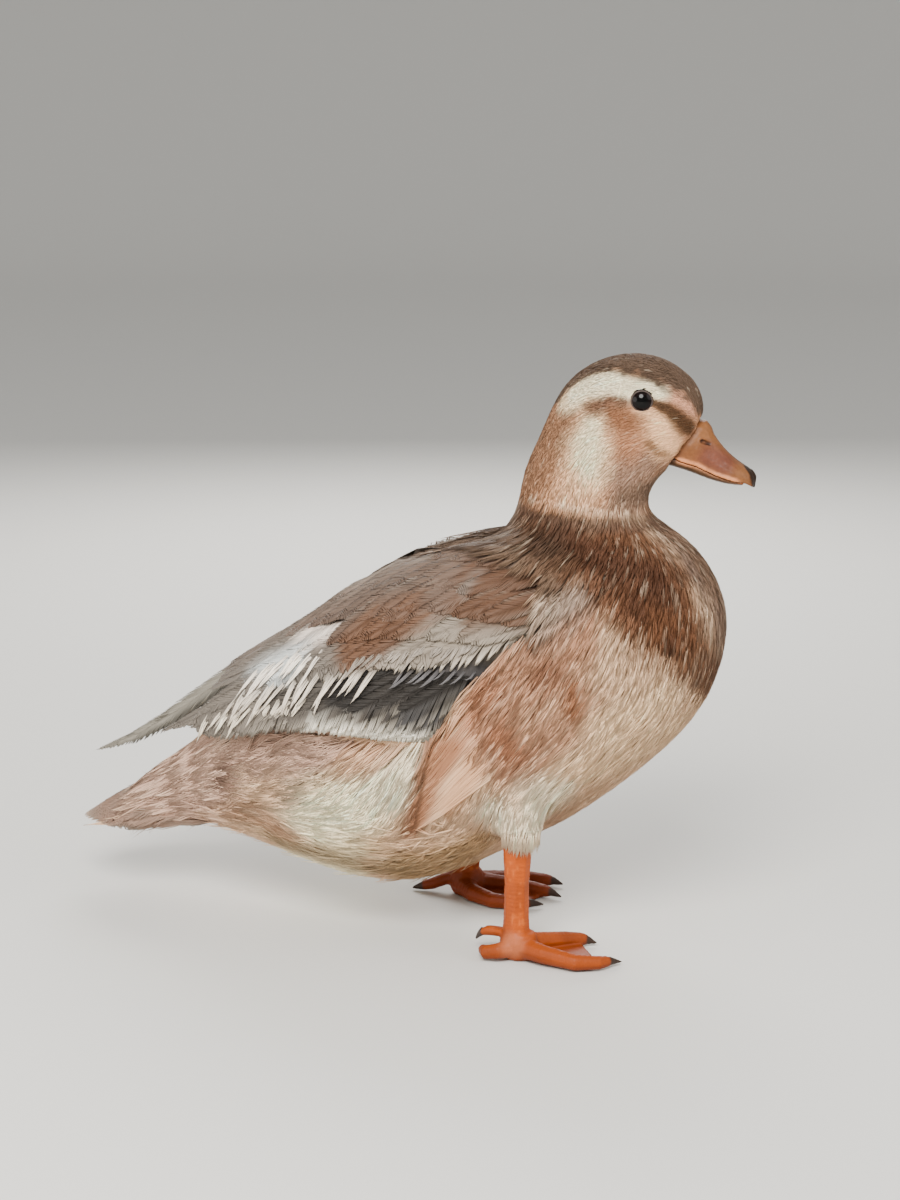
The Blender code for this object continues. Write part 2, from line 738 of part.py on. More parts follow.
# Finish: red, green, blue and roughness
COLOURS = {
    "torso": (0.55, 0.38, 0.28, 0.8),
    "neck": (0.62, 0.45, 0.33, 0.8),
    "head": (0.6, 0.47, 0.36, 0.8),
    "wing": (0.45, 0.42, 0.4, 0.7),
    "tail": (0.52, 0.43, 0.38, 0.75),
    "bill": (0.72, 0.33, 0.14, 0.4),
    "eye": (0.01, 0.008, 0.006, 0.05),
    "leg": (0.8, 0.25, 0.04, 0.5),
    "foot": (0.8, 0.25, 0.04, 0.5),
}


def give_material(item):
    red, green, blue, roughness = COLOURS[item.name.split("_")[0]]
    material = bpy.data.materials.new(item.name)
    material.use_nodes = True
    shader = material.node_tree.nodes["Principled BSDF"]
    shader.inputs["Base Color"].default_value = (red, green, blue, 1)
    shader.inputs["Roughness"].default_value = roughness
    shader.inputs["Metallic"].default_value = 0
    item.data.materials.clear()
    item.data.materials.append(material)
    item.data.shade_smooth()
    item.data.set_sharp_from_angle(angle=math.radians(40))


def centre_on_floor(parts):
    """Moves every mesh so that the origin is the middle of the outline on the floor."""
    points = np.array([tuple(vertex.co) for part in parts for vertex in part.data.vertices])
    low, high = points.min(axis=0), points.max(axis=0)
    for part in parts:
        for vertex in part.data.vertices:
            vertex.co.x -= (low[0] + high[0]) / 2
            vertex.co.y -= (low[1] + high[1]) / 2


def clear_scene():
    for item in list(bpy.data.objects):
        bpy.data.objects.remove(item)


def make_duck():
    torso, neck, head = make_torso(), make_neck(), make_head()
    upper = make_bill("bill_upper", UPPER_BILL)
    lower = make_bill("bill_lower", LOWER_BILL)
    eyes = [make_eye("eye_right", -1), make_eye("eye_left", 1)]
    boolean(head, [lid_ring(-1), lid_ring(1)], "UNION")
    boolean(head, [grown(item) for item in (upper, lower, *eyes)], "DIFFERENCE")
    nostrils = []
    for side in (-1, 1):
        x, y, z = NOSTRIL
        nostrils.append(ball("nostril", (x, side * y, z), NOSTRIL_SIZE, 1.0))
    boolean(upper, nostrils, "DIFFERENCE")
    wings = [make_wing("wing_right", -1), make_wing("wing_left", 1)]
    tail = make_tail()
    legs = [
        make_leg("leg_right", RIGHT_ANKLE, RIGHT_HOCK),
        make_leg("leg_left", LEFT_ANKLE, LEFT_HOCK),
    ]
    for item in (*wings, *legs):
        boolean(item, [grown(torso)], "DIFFERENCE")
    feet = [
        make_foot("foot_right", RIGHT_ANKLE, -1, RIGHT_TOES, RIGHT_WEBS),
        make_foot("foot_left", LEFT_ANKLE, 1, LEFT_TOES, LEFT_WEBS),
    ]
    return [torso, neck, head, upper, lower, *eyes, *wings, tail, *legs, *feet]


def main():
    clear_scene()
    parts = make_duck()
    centre_on_floor(parts)
    duck = bpy.data.collections.new("call_duck")
    bpy.context.scene.collection.children.link(duck)
    for part in parts:
        bpy.context.scene.collection.objects.unlink(part)
        duck.objects.link(part)
        give_material(part)


main()
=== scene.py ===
import itertools
import math

import bmesh
import bpy
import numpy as np
from mathutils import Matrix, Vector
from mathutils.bvhtree import BVHTree
from mathutils.kdtree import KDTree


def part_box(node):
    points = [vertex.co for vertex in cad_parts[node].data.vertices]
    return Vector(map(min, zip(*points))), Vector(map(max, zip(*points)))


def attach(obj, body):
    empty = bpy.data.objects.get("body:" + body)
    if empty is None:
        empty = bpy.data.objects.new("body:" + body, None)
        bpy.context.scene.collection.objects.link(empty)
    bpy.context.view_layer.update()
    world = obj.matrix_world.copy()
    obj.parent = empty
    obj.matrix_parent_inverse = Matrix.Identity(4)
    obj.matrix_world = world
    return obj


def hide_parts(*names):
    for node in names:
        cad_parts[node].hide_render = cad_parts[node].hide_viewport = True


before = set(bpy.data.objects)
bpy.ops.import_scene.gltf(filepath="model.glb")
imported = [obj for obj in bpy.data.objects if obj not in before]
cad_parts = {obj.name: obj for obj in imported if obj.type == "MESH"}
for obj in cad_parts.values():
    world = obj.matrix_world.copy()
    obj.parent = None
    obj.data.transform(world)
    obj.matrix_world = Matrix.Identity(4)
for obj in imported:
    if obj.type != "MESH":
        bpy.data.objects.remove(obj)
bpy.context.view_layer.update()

# Camera, floor and light
# The duck is seen from its right, a little from ahead and above, through a long lens. It stands on
# a plain pale floor that sweeps up far behind it, under one broad soft light and three weaker ones.
MM = 0.001
EYE_AHEAD_OF_HEEL = 43.99
eye_low, eye_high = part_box("eye_right")
HEEL = np.array([(eye_low.x + eye_high.x) / 2 - EYE_AHEAD_OF_HEEL * MM, 0.0, 0.0])
VIEW_FROM = (300.9, -1058.8, 392.7)
VIEW_TURN = math.radians(18)
VIEW_DOWN = math.radians(12.5)
LENS = 78
FRAME_HEIGHT = 36
FLOOR_COLOUR = (0.62, 0.61, 0.58)
FLOOR_REACH = 5.0
SWEEP_START = 3.0
SWEEP_RISE = 0.6
FLOOR_GAP = 0.0003
SKY = (0.92, 0.92, 0.92)
SKY_STRENGTH = 0.78


def placed(points):
    """Points in millimetres from the right heel, as places in the model in metres."""
    return np.asarray(points, float) * MM + HEEL


scene = bpy.context.scene
lens = bpy.data.cameras.new("camera")
lens.sensor_fit = "VERTICAL"
lens.sensor_height = FRAME_HEIGHT
lens.lens = LENS
camera = bpy.data.objects.new("camera", lens)
camera.location = placed(VIEW_FROM)
ahead = Vector((-math.sin(VIEW_TURN), math.cos(VIEW_TURN), -math.tan(VIEW_DOWN)))
camera.rotation_euler = ahead.to_track_quat("-Z", "Y").to_euler()
scene.collection.objects.link(camera)
scene.camera = camera

world = bpy.data.worlds.new("sky")
world.use_nodes = True
world.node_tree.nodes["Background"].inputs["Color"].default_value = (*SKY, 1)
world.node_tree.nodes["Background"].inputs["Strength"].default_value = SKY_STRENGTH
scene.world = world


def soft_light(name, place, target, size, power, colour):
    lamp = bpy.data.lights.new(name, "AREA")
    lamp.shape = "DISK"
    lamp.size = size
    lamp.energy = power
    lamp.color = colour
    item = bpy.data.objects.new(name, lamp)
    item.location = placed(place)
    item.rotation_euler = (Vector(target) - Vector(place)).to_track_quat("-Z", "Y").to_euler()
    scene.collection.objects.link(item)


soft_light("key_light", (120, -900, 860), (-30, 0, 110), 0.6, 26, (1.0, 0.98, 0.94))
soft_light("side_light", (900, -150, 620), (-20, 0, 120), 0.8, 4, (0.95, 0.97, 1.0))
soft_light("low_light", (-800, -800, 300), (-60, 0, 80), 0.8, 7, (1.0, 0.98, 0.95))
soft_light("back_light", (-350, 900, 700), (-30, 0, 110), 0.8, 14, (1.0, 0.98, 0.95))


def mesh_of(form, name):
    """A smooth mesh of a finished bmesh."""
    mesh = bpy.data.meshes.new(name)
    form.to_mesh(mesh)
    form.free()
    mesh.shade_smooth()
    return mesh


def new_piece(name, mesh):
    item = bpy.data.objects.new(name, mesh)
    scene.collection.objects.link(item)
    return item


sheet = bmesh.new()
bmesh.ops.create_grid(sheet, x_segments=60, y_segments=60, size=FLOOR_REACH)
for vertex in sheet.verts:
    beyond = max(vertex.co.to_2d().length - SWEEP_START, 0)
    vertex.co.z = SWEEP_RISE * beyond**2 - FLOOR_GAP
floor_mesh = mesh_of(sheet, "floor")
floor = new_piece("floor", floor_mesh)
floor_finish = bpy.data.materials.new("pale_floor")
floor_finish.use_nodes = True
floor_shader = floor_finish.node_tree.nodes["Principled BSDF"]
floor_shader.inputs["Base Color"].default_value = (*FLOOR_COLOUR, 1)
floor_shader.inputs["Roughness"].default_value = 0.85
floor_mesh.materials.append(floor_finish)

# Skin
# One skin runs from the rump to the bill, under the coat by the coat's own depth. It replaces the
# torso, neck and head, and carries the same markings as the feathers that grow from it, darkened
# as painted shade under the coat.
HEAD_TURN = math.radians(13)
TURN_AXIS = 18.0
FLESH = ("torso", "neck", "head")
EYE_PLACE = np.array([41.4, 18.3, 239.4])
SKIN_VOXEL = 0.0020
KNEES = [(0, -38, 53), (-38, 32, 50)]
SKIN_SMOOTHING = 10
SKIN_PAINTED_SHADE = 0.88


def merged_copy(nodes):
    """A bmesh of CAD nodes, with the corners that their triangles share made one."""
    found = bmesh.new()
    for node in nodes:
        found.from_mesh(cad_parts[node].data)
    bmesh.ops.remove_doubles(found, verts=found.verts, dist=0.00001)
    return found


def remeshed(name, nodes, voxel, smoothing):
    """An even, closed mesh of the outside of some CAD nodes."""
    form = new_piece(name + "_form", mesh_of(merged_copy(nodes), name + "_form"))
    remesh = form.modifiers.new("remesh", "REMESH")
    remesh.mode = "VOXEL"
    remesh.voxel_size = voxel
    smooth = form.modifiers.new("smooth", "SMOOTH")
    smooth.factor = 0.5
    smooth.iterations = smoothing
    bpy.context.view_layer.update()
    shaped = form.evaluated_get(bpy.context.evaluated_depsgraph_get())
    even = bpy.data.meshes.new_from_object(shaped)
    bpy.data.objects.remove(form)
    even.name = name
    even.shade_smooth()
    return even


def corners(mesh):
    """The mesh's vertices in millimetres from the heel, and their normals."""
    places = np.zeros(len(mesh.vertices) * 3)
    mesh.vertices.foreach_get("co", places)
    normals = np.zeros(len(mesh.vertices) * 3)
    mesh.vertices.foreach_get("normal", normals)
    return (places.reshape(-1, 3) - HEEL) / MM, normals.reshape(-1, 3)


def move_corners(mesh, points):
    mesh.vertices.foreach_set("co", placed(points).astype(np.float32).ravel())
    mesh.update()


def ease(low, high, value):
    """0 below low, 1 above high, and a smooth step between."""
    share = np.clip((np.asarray(value, float) - low) / (high - low), 0, 1)
    return share * share * (3 - 2 * share)


def turn_share(points):
    """How much of the head's turn each point has: none at the collar, all from the jaw up."""
    low, high = 189.0, 222.6 - 0.3 * points[:, 0]
    return np.clip((points[:, 2] - low) / (high - low), 0, 1)


def spun(points, angles, middle=TURN_AXIS):
    """Points or directions turned about an upright axis at x = middle."""
    x, y = points[:, 0] - middle, points[:, 1]
    c, s = np.cos(angles), np.sin(angles)
    return np.stack([middle + x * c - y * s, x * s + y * c, points[:, 2]], axis=1)


def straightened(points):
    """The same points with the head turned back to face ahead, both sides folded onto one."""
    straight = spun(points, -HEAD_TURN * turn_share(points))
    straight[:, 1] = np.abs(straight[:, 1])
    return straight


def uneven(points, size, seed=0):
    """Smooth random values from -1 to 1 over points, in lumps of about the given size."""
    place = np.asarray(points, float) / size + 31.7 * seed
    cell = np.floor(place).astype(np.int64)
    inside = place - cell
    inside = inside * inside * (3 - 2 * inside)
    total = np.zeros(len(place))
    for corner in itertools.product((0, 1), repeat=3):
        key = cell + np.array(corner)
        mixed = key[:, 0] * 374761393 + key[:, 1] * 668265263 + key[:, 2] * 2147483647 + seed * 97
        mixed = (mixed ^ (mixed >> 13)) * 1274126177
        value = ((mixed ^ (mixed >> 16)) & 0xFFFF) / 32767.5 - 1
        total += value * np.prod(np.where(corner, inside, 1 - inside), axis=1)
    return total


DEEPENING = 0.56
PALE_SPREAD = 3.2
RICHNESS = 4
RICHEST_AT = 0.45
MOST_LIGHT = 0.9


def light(red, green, blue):
    """The amounts of light a surface gives back, for a colour as a picture shows it, from 0 to 255.

    A picture's tone curve draws its pale colours together and greys them, so they are spread
    apart and deepened here, and only the dark ones are kept as they are.
    """
    shares = np.array([red, green, blue]) / 255
    linear = np.where(shares <= 0.04045, shares / 12.92, ((shares + 0.055) / 1.055) ** 2.4)
    brightness = float(linear @ np.array([0.2126, 0.7152, 0.0722]))
    found = DEEPENING * linear * math.exp(PALE_SPREAD * brightness**2.5)
    found *= (linear / brightness) ** (RICHNESS * min(brightness, RICHEST_AT) ** 2)
    return found * min(1, MOST_LIGHT / found.max())


CREAM = (202, 182, 162)
PEACH = (186, 148, 124)
RUFOUS = (170, 120, 90)
MID_BREAST = (126, 84, 58)
DARK_BREAST = (92, 60, 43)
TAN = (174, 148, 114)
ROSE_GREY = (192, 170, 157)
BROWN = (150, 120, 104)
GREY_BROWN = (150, 131, 117)

# Each marking is a stroke through points (x, distance from the middle, height, half width), then its
# colour, how strong it is and how soft its edge is. Later ones lie over earlier ones.
BODY_MARKS = [
    ([(-12, 10, 186, 14), (-30, 12, 172, 16), (-55, 8, 160, 18), (-90, 0, 132, 22), (-130, 0, 104, 20)],
     GREY_BROWN, 0.95, 0.3),
    ([(-88, 46, 88, 12), (-106, 42, 86, 15), (-136, 28, 84, 18), (-152, 26, 66, 22), (-176, 10, 50, 24)],
     ROSE_GREY, 0.95, 0.4),
    # Tan of the belly: partly its own colour and partly painted shade on the underside
    ([(-17, 36, 46, 9), (-32, 34, 38, 13), (-48, 36, 34, 13), (-40, 8, 18, 30)], TAN, 0.85, 0.5),
    ([(-66, 54, 67, 14), (-92, 48, 55, 15), (-80, 44, 44, 12), (-100, 10, 24, 22)],
     (246, 238, 216), 0.95, 0.5),
    ([(-60, 52, 46, 7), (-84, 46, 38, 6)], (178, 156, 122), 0.5, 0.7),
    # Painted shade along the lowest edge of the belly
    ([(-58, 38, 31, 9), (-88, 39, 33, 9), (-118, 33, 40, 8)], (160, 138, 108), 0.8, 0.7),
    ([(-43, 58, 82, 8), (-54, 57, 72, 11)], (240, 232, 214), 0.9, 0.5),
    ([(-72, 54, 82, 8), (-58, 56, 87, 6)], (194, 160, 136), 0.7, 0.7),
    ([(-140, 33, 61, 5), (-134, 33, 71, 4)], BROWN, 0.85, 0.5),
    ([(-113, 39, 85, 6)], BROWN, 0.3, 0.7),
    ([(-100, 46, 66, 5), (-106, 44, 60, 4)], BROWN, 0.6, 0.7),
    ([(-140, 30, 47, 6), (-124, 36, 52, 7), (-108, 38, 46, 6)], (178, 146, 122), 0.7, 0.6),
    ([(27, 48, 151, 10), (24, 51, 142, 12), (16, 55, 130, 14), (-8, 58, 118, 15), (-4, 58, 100, 16)],
     PEACH, 0.9, 0.5),
    ([(28, 52, 118, 10), (20, 52, 104, 10), (2, 54, 84, 9)], PEACH, 0.75, 0.6),
    ([(17, 54, 130, 5), (12, 55, 126, 3)], (157, 113, 89), 0.8, 0.6),
    ([(28, 52.5, 113, 3.5), (26, 52, 121, 3.5)], (164, 112, 80), 0.85, 0.6),
    ([(-4, 57, 101, 6), (2, 56, 93, 5)], (184, 136, 108), 0.8, 0.6),
    ([(-11, 57, 120, 7), (-18, 57, 108, 6)], (192, 150, 124), 0.8, 0.6),
    ([(60, 35, 114, 10), (44, 44, 102, 12), (42, 34, 90, 13), (26, 43, 82, 11), (54, 20, 98, 14)],
     (208, 190, 168), 0.8, 0.6),
    ([(-4, 55, 142, 7), (9, 52, 148, 9), (22, 46, 157, 9), (34, 42, 163, 7)], (172, 158, 146), 0.85, 0.6),
    ([(-30, 20, 174, 13), (-14, 32, 174, 13), (2, 38, 171, 12), (14, 44, 165, 9)], (108, 85, 69), 0.9, 0.6),
    ([(-4, 22, 188, 9), (16, 32, 180, 12), (38, 36, 168, 15), (54, 34, 152, 17), (66, 28, 139, 14),
      (73, 14, 125, 11), (76, 0, 118, 10)], MID_BREAST, 0.95, 0.55),
    ([(36, 30, 184, 9), (48, 24, 180, 11), (60, 26, 166, 14), (66, 30, 148, 13), (50, 40, 158, 10)],
     MID_BREAST, 0.95, 0.35),
    ([(50, 0, 187, 9), (64, 0, 174, 16), (73, 0, 160, 18), (78, 0, 142, 16)], (118, 90, 74), 0.9, 0.6),
    ([(32, 41, 163, 4), (48, 42, 151, 5)], (145, 103, 78), 0.7, 0.6),
    ([(10, 26, 184, 8), (32, 34, 172, 10), (48, 30, 168, 11), (58, 26, 158, 8)],
     DARK_BREAST, 0.9, 0.7),
    ([(49, 40, 157, 5), (53, 39.6, 152, 3.4)], DARK_BREAST, 0.7, 0.6),
    ([(64, 34.7, 138, 3.4)], DARK_BREAST, 0.7, 0.6),
    ([(71.7, 21, 121, 3.4)], DARK_BREAST, 0.7, 0.6),
    ([(65, 10, 175, 3), (76, 14, 151, 4)], (150, 130, 118), 0.4, 0.8),
    ([(79, 7, 163, 4), (80, 6, 146, 5), (79, 4, 132, 4)], (156, 134, 120), 0.4, 0.8),
    ([(-6, 16, 190, 4), (4, 22, 189, 4), (28, 25, 187.5, 4), (46, 13, 186.5, 4), (52, 0, 185, 4)],
     (122, 94, 77), 0.85, 0.6),
    ([(17, 37, 171, 6), (9, 33, 176, 5)], (108, 81, 62), 0.75, 0.6),
    ([(-16, 22, 180, 7), (-4, 28, 179, 8), (8, 32, 178, 8)], (92, 71, 57), 0.8, 0.8),
    ([(4, 45, 156, 6), (6, 40, 165, 5)], (132, 96, 72), 0.7, 0.6),
    ([(-26, 58, 95, 7), (-34, 57.6, 82, 7), (-39, 55, 68, 6), (-45, 50, 54, 4)], RUFOUS, 0.9, 0.4),
    ([(-17, 57, 86, 5), (-27, 54, 68, 5)], (200, 168, 142), 0.7, 0.6),
    ([(12, 47, 70, 12), (14, 38, 72, 10), (2, 40, 56, 10), (-8, 46, 64, 8)], (234, 225, 208), 0.9, 0.6),
]
HEAD_MARKS = [
    ([(8, 12, 232, 8), (3, 12, 220, 9), (-2, 12, 206, 9), (-4, 12, 196, 8)], (170, 134, 108), 0.9, 0.6),
    ([(3, 0, 236, 6), (-5, 0, 218, 7), (-10, 0, 200, 7)], (142, 108, 84), 0.9, 0.8),
    ([(46, 16, 211, 8), (35, 20, 209, 9), (38, 12, 200, 12), (44, 4, 200, 10)], (176, 150, 132), 0.95, 0.7),
    ([(37, 18, 197, 5), (46, 6, 198, 7), (52, 0, 208, 5)], (152, 128, 110), 0.8, 0.9),
    ([(48, 18.7, 228, 8), (42, 19.6, 231, 5.5), (52, 15.8, 220, 7)], (218, 193, 167), 0.95, 0.6),
    ([(38, 20, 226, 6), (35, 20.5, 220, 7), (28, 20.5, 219, 5)], (190, 148, 120), 0.8, 0.8),
    ([(36, 20, 231, 5), (29, 19.6, 232.5, 5), (20, 17.8, 230.5, 3.5), (13, 15, 224, 3)],
     (164, 116, 86), 0.85, 0.8),
    ([(44, 18, 221.5, 1.6), (48, 16, 217.2, 1.9), (54, 14, 214.5, 1.6)], (150, 110, 78), 0.8, 0.8),
    ([(20, 18.5, 230, 5.5), (18.5, 20.4, 219, 9), (20, 22, 206, 7.5)], (224, 206, 182), 0.85, 0.8),
    ([(20, 18.5, 228, 3.4), (18.5, 20.4, 219, 5.6), (20, 22, 209, 4)], (250, 241, 218), 0.97, 0.8),
    ([(14, 22, 201, 7), (22, 23, 197, 6)], (216, 190, 166), 0.7, 0.8),
    ([(52, 14.4, 243, 5), (61.5, 11.5, 237, 5)], (206, 174, 154), 0.9, 0.6),
    ([(9, 11, 238, 6), (16, 12, 243, 7), (27, 14, 246, 7), (35, 16.5, 244.6, 6), (49, 16.6, 243, 4.6)],
     (226, 214, 192), 0.8, 0.5),
    ([(37, 18.8, 239.2, 2.4), (28.5, 18, 239.4, 3.0), (20, 17.8, 236, 3.6)], (130, 94, 74), 0.9, 0.8),
    ([(12, 12, 240.5, 4), (18, 12, 244.5, 5), (27, 14, 246.8, 5.4), (35, 16.5, 245, 4.8),
      (48, 16.6, 243.3, 3.6)], (248, 240, 220), 0.97, 0.5),
    ([(6, 0, 240, 7), (13, 0, 249, 9), (26, 0, 253, 11.4), (40, 0, 254, 15.6), (54, 0, 249, 15.2),
      (64, 0, 239, 10.2)], (112, 92, 77), 0.97, 0.16),
    ([(14, 2, 248, 3), (27, 10, 251.5, 2), (39, 14, 249.5, 2), (50, 14.4, 247, 2)], (92, 70, 56), 0.5, 0.8),
    ([(45, 18.4, 239, 1.5), (52, 17.4, 235.8, 3.2), (57.4, 15.6, 231.6, 4.4), (61.5, 12.6, 227, 4.4)],
     (96, 68, 46), 0.95, 0.55),
    # A thin pale line along the collar: partly pale feather tips and partly painted highlight on the fold
    ([(-3, 16, 195.4, 1.2), (15, 23.4, 194.1, 1.3), (27.7, 22.5, 192.1, 1.3), (42.5, 13, 190.1, 1.1),
      (48, 5, 188.8, 1)], (222, 206, 188), 0.5, 0.8),
]
HEAD_BASE = (196, 162, 136)
COLLAR_HEIGHT = 191.5


def stroke_distance(points, stroke):
    """Distance from each point to a stroke, as a share of the stroke's half width there."""
    rows = np.array(stroke, float)
    if len(rows) == 1:
        return np.linalg.norm(points - rows[0, :3], axis=1) / rows[0, 3]
    nearest = np.full(len(points), 1e9)
    for start, end in zip(rows[:-1], rows[1:]):
        along = end[:3] - start[:3]
        share = np.clip((points - start[:3]) @ along / (along @ along), 0, 1)
        gap = np.linalg.norm(points - start[:3] - share[:, None] * along, axis=1)
        nearest = np.minimum(nearest, gap / (start[3] + (end[3] - start[3]) * share))
    return nearest


def plain(colour, points):
    """One colour for every point."""
    return np.tile(light(*colour), (len(points), 1))


def blended(colours, colour, amounts):
    """Colours moved towards one other colour, by an amount for each."""
    return colours + (light(*colour) - colours) * amounts[:, None]


def grained(colours, points, amount, size, seed):
    """Colours made a little uneven, in grains of about the given size."""
    return colours * (1 + amount * uneven(points, size, seed))[:, None]


def marked(points, base, marks, ragged, grain):
    """The colour of each point: a base, with the markings laid over it in turn."""
    colours = plain(base, points)
    edge = ragged * uneven(points, grain, 3) + 0.5 * ragged * uneven(points, grain / 2.3, 4)
    for stroke, colour, strength, softness in marks:
        reach = stroke_distance(points, stroke) + edge
        cover = strength * (1 - ease(1 - softness, 1 + softness, reach))
        colours = blended(colours, colour, cover)
    return colours


def plumage_colour(points):
    """Markings of the body and the head at points of the duck as it stands."""
    straight = straightened(points)
    body = marked(straight, CREAM, BODY_MARKS, 0.22, 7.0)
    head = marked(straight, HEAD_BASE, HEAD_MARKS, 0.16, 3.0)
    share = ease(COLLAR_HEIGHT - 2.5, COLLAR_HEIGHT + 1.0, straight[:, 2] + 0.05 * (straight[:, 0] - 20))
    return body + (head - body) * share[:, None]


def paint(mesh, colours):
    """Stores a colour for each vertex, for the finish to read."""
    tint = mesh.color_attributes.new("tint", "FLOAT_COLOR", "POINT")
    full = np.ones((len(colours), 4), np.float32)
    full[:, :3] = np.clip(colours, 0.002, 0.95)
    tint.data.foreach_set("color", full.ravel())


def finish_reading_tint(name, roughness, grain, contrast, specular, bump=0.0):
    """A finish that takes its colour from the painted markings, broken up by a fine grain."""
    finish = bpy.data.materials.new(name)
    finish.use_nodes = True
    nodes, links = finish.node_tree.nodes, finish.node_tree.links
    shader = nodes["Principled BSDF"]
    shader.inputs["Roughness"].default_value = roughness
    shader.inputs["Specular IOR Level"].default_value = specular
    tint = nodes.new("ShaderNodeAttribute")
    tint.attribute_name = "tint"
    place = nodes.new("ShaderNodeTexCoord")
    speckle = nodes.new("ShaderNodeTexNoise")
    speckle.inputs["Scale"].default_value = 1 / (grain * MM)
    speckle.inputs["Detail"].default_value = 3
    links.new(place.outputs["Object"], speckle.inputs["Vector"])
    amount = nodes.new("ShaderNodeMapRange")
    amount.inputs["From Min"].default_value = 0.3
    amount.inputs["From Max"].default_value = 0.7
    amount.inputs["To Min"].default_value = 1 - contrast
    amount.inputs["To Max"].default_value = 1 + contrast
    links.new(speckle.outputs["Fac"], amount.inputs["Value"])
    mixed = nodes.new("ShaderNodeVectorMath")
    mixed.operation = "SCALE"
    links.new(tint.outputs["Color"], mixed.inputs[0])
    links.new(amount.outputs["Result"], mixed.inputs["Scale"])
    links.new(mixed.outputs["Vector"], shader.inputs["Base Color"])
    if bump:
        relief = nodes.new("ShaderNodeBump")
        relief.inputs["Strength"].default_value = bump
        relief.inputs["Distance"].default_value = 0.2 * MM
        links.new(speckle.outputs["Fac"], relief.inputs["Height"])
        links.new(relief.outputs["Normal"], shader.inputs["Normal"])
    return finish


# The skin lies deeper below the collar than on the head, hardly at all by the bill and at the knees,
# and draws in behind the lids
down_finish = finish_reading_tint("down", 0.9, 0.6, 0.12, 0.05, 0.4)
skin_mesh = remeshed("skin", FLESH + ("eye_right", "eye_left"), SKIN_VOXEL, SKIN_SMOOTHING)
surface, outward = corners(skin_mesh)
face = straightened(surface)
depth = 0.7 + 1.5 * (1 - ease(178, 206, face[:, 2]))
depth *= 1 - 0.8 * ease(57, 64, face[:, 0]) * ease(205, 212, face[:, 2])
eye_gap = np.linalg.norm(face - EYE_PLACE, axis=1)
depth *= ease(6, 9, eye_gap)
depth += 2.4 * (1 - ease(3.0, 5.2, eye_gap))
for knee in KNEES:
    depth *= 1 - 0.7 * (1 - ease(9, 17, np.linalg.norm(surface - np.array(knee), axis=1)))
move_corners(skin_mesh, surface - outward * depth[:, None])
skin = new_piece("skin", skin_mesh)
bpy.context.view_layer.objects.active = skin
skin.select_set(True)
skin_mesh.uv_layers.new(name="OFBake")
bpy.ops.object.mode_set(mode="EDIT")
bpy.ops.mesh.select_all(action="SELECT")
bpy.ops.uv.smart_project(angle_limit=math.radians(66), island_margin=0.002)
bpy.ops.object.mode_set(mode="OBJECT")
skin.select_set(False)
# The skin takes the plumage's markings darkened, as painted shade deep under the coat
paint(skin_mesh, SKIN_PAINTED_SHADE * plumage_colour(corners(skin_mesh)[0]))
skin_mesh.materials.append(down_finish)
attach(skin, "root")
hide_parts(*FLESH)

# Feathers
# Every feather is built from barbs: thin closed wedges that taper to a point. A barb is a row of
# stations, each with a left, a ridge and a right corner, and all barbs of a piece are one mesh.
def unit(vectors):
    return vectors / np.maximum(np.linalg.norm(vectors, axis=-1, keepdims=True), 1e-9)


def wedges(middles, up, widths, heights, tips):
    """Closed wedges that taper to their tips. middles and up are (count, stations, 3)."""
    count, stations = widths.shape
    course = unit(np.diff(np.concatenate([middles, tips[:, None]], axis=1), axis=1))
    across = unit(np.cross(course, up))
    left = middles - across * widths[..., None]
    ridge = middles + up * heights[..., None]
    right = middles + across * widths[..., None]
    rings = np.stack([left, ridge, right], axis=2).reshape(count, stations * 3, 3)
    points = np.concatenate([rings, tips[:, None, :]], axis=1)
    pattern = [(0, 1, 2)]
    for k in range(stations - 1):
        for j in range(3):
            a, b = 3 * k + j, 3 * k + (j + 1) % 3
            pattern += [(a, a + 3, b + 3), (a, b + 3, b)]
    last = 3 * (stations - 1)
    for j in range(3):
        pattern.append((last + j, 3 * stations, last + (j + 1) % 3))
    each = 3 * stations + 1
    triangles = np.array(pattern)[None] + (np.arange(count) * each)[:, None, None]
    return points.reshape(-1, 3), triangles.reshape(-1, 3)


def at_corners(rows, tips):
    """A value for each corner of the wedges, from one for each station and each tip."""
    return np.concatenate([np.repeat(rows, 3, axis=1), tips[:, None]], axis=1).ravel()


def finished_piece(name, mesh, colours, finish):
    paint(mesh, colours)
    mesh.materials.append(finish)
    item = new_piece(name, mesh)
    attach(item, "root")
    return item


def joined(name, parts, finish):
    """One piece from many wedges: each part is (points, triangles, colours, places on the unwrap)."""
    offsets = np.cumsum([0] + [len(part[0]) for part in parts[:-1]])
    points = np.concatenate([part[0] for part in parts])
    triangles = np.concatenate([part[1] + offset for part, offset in zip(parts, offsets)])
    colours = np.concatenate([part[2] for part in parts])
    unwrap = np.concatenate([part[3] for part in parts])
    a, b, c = (points[triangles[:, k]] for k in range(3))
    if np.einsum("ij,ij->", a, np.cross(b, c)) < 0:
        triangles = triangles[:, ::-1]
    mesh = bpy.data.meshes.new(name)
    mesh.vertices.add(len(points))
    mesh.vertices.foreach_set("co", placed(points).astype(np.float32).ravel())
    mesh.loops.add(triangles.size)
    mesh.loops.foreach_set("vertex_index", triangles.astype(np.int32).ravel())
    mesh.polygons.add(len(triangles))
    mesh.polygons.foreach_set("loop_start", np.arange(0, triangles.size, 3, dtype=np.int32))
    mesh.update(calc_edges=True)
    mesh.shade_smooth()
    layer = mesh.uv_layers.new(name="OFBake")
    layer.data.foreach_set("uv", unwrap[triangles.ravel()].astype(np.float32).ravel())
    return finished_piece(name, mesh, colours, finish)


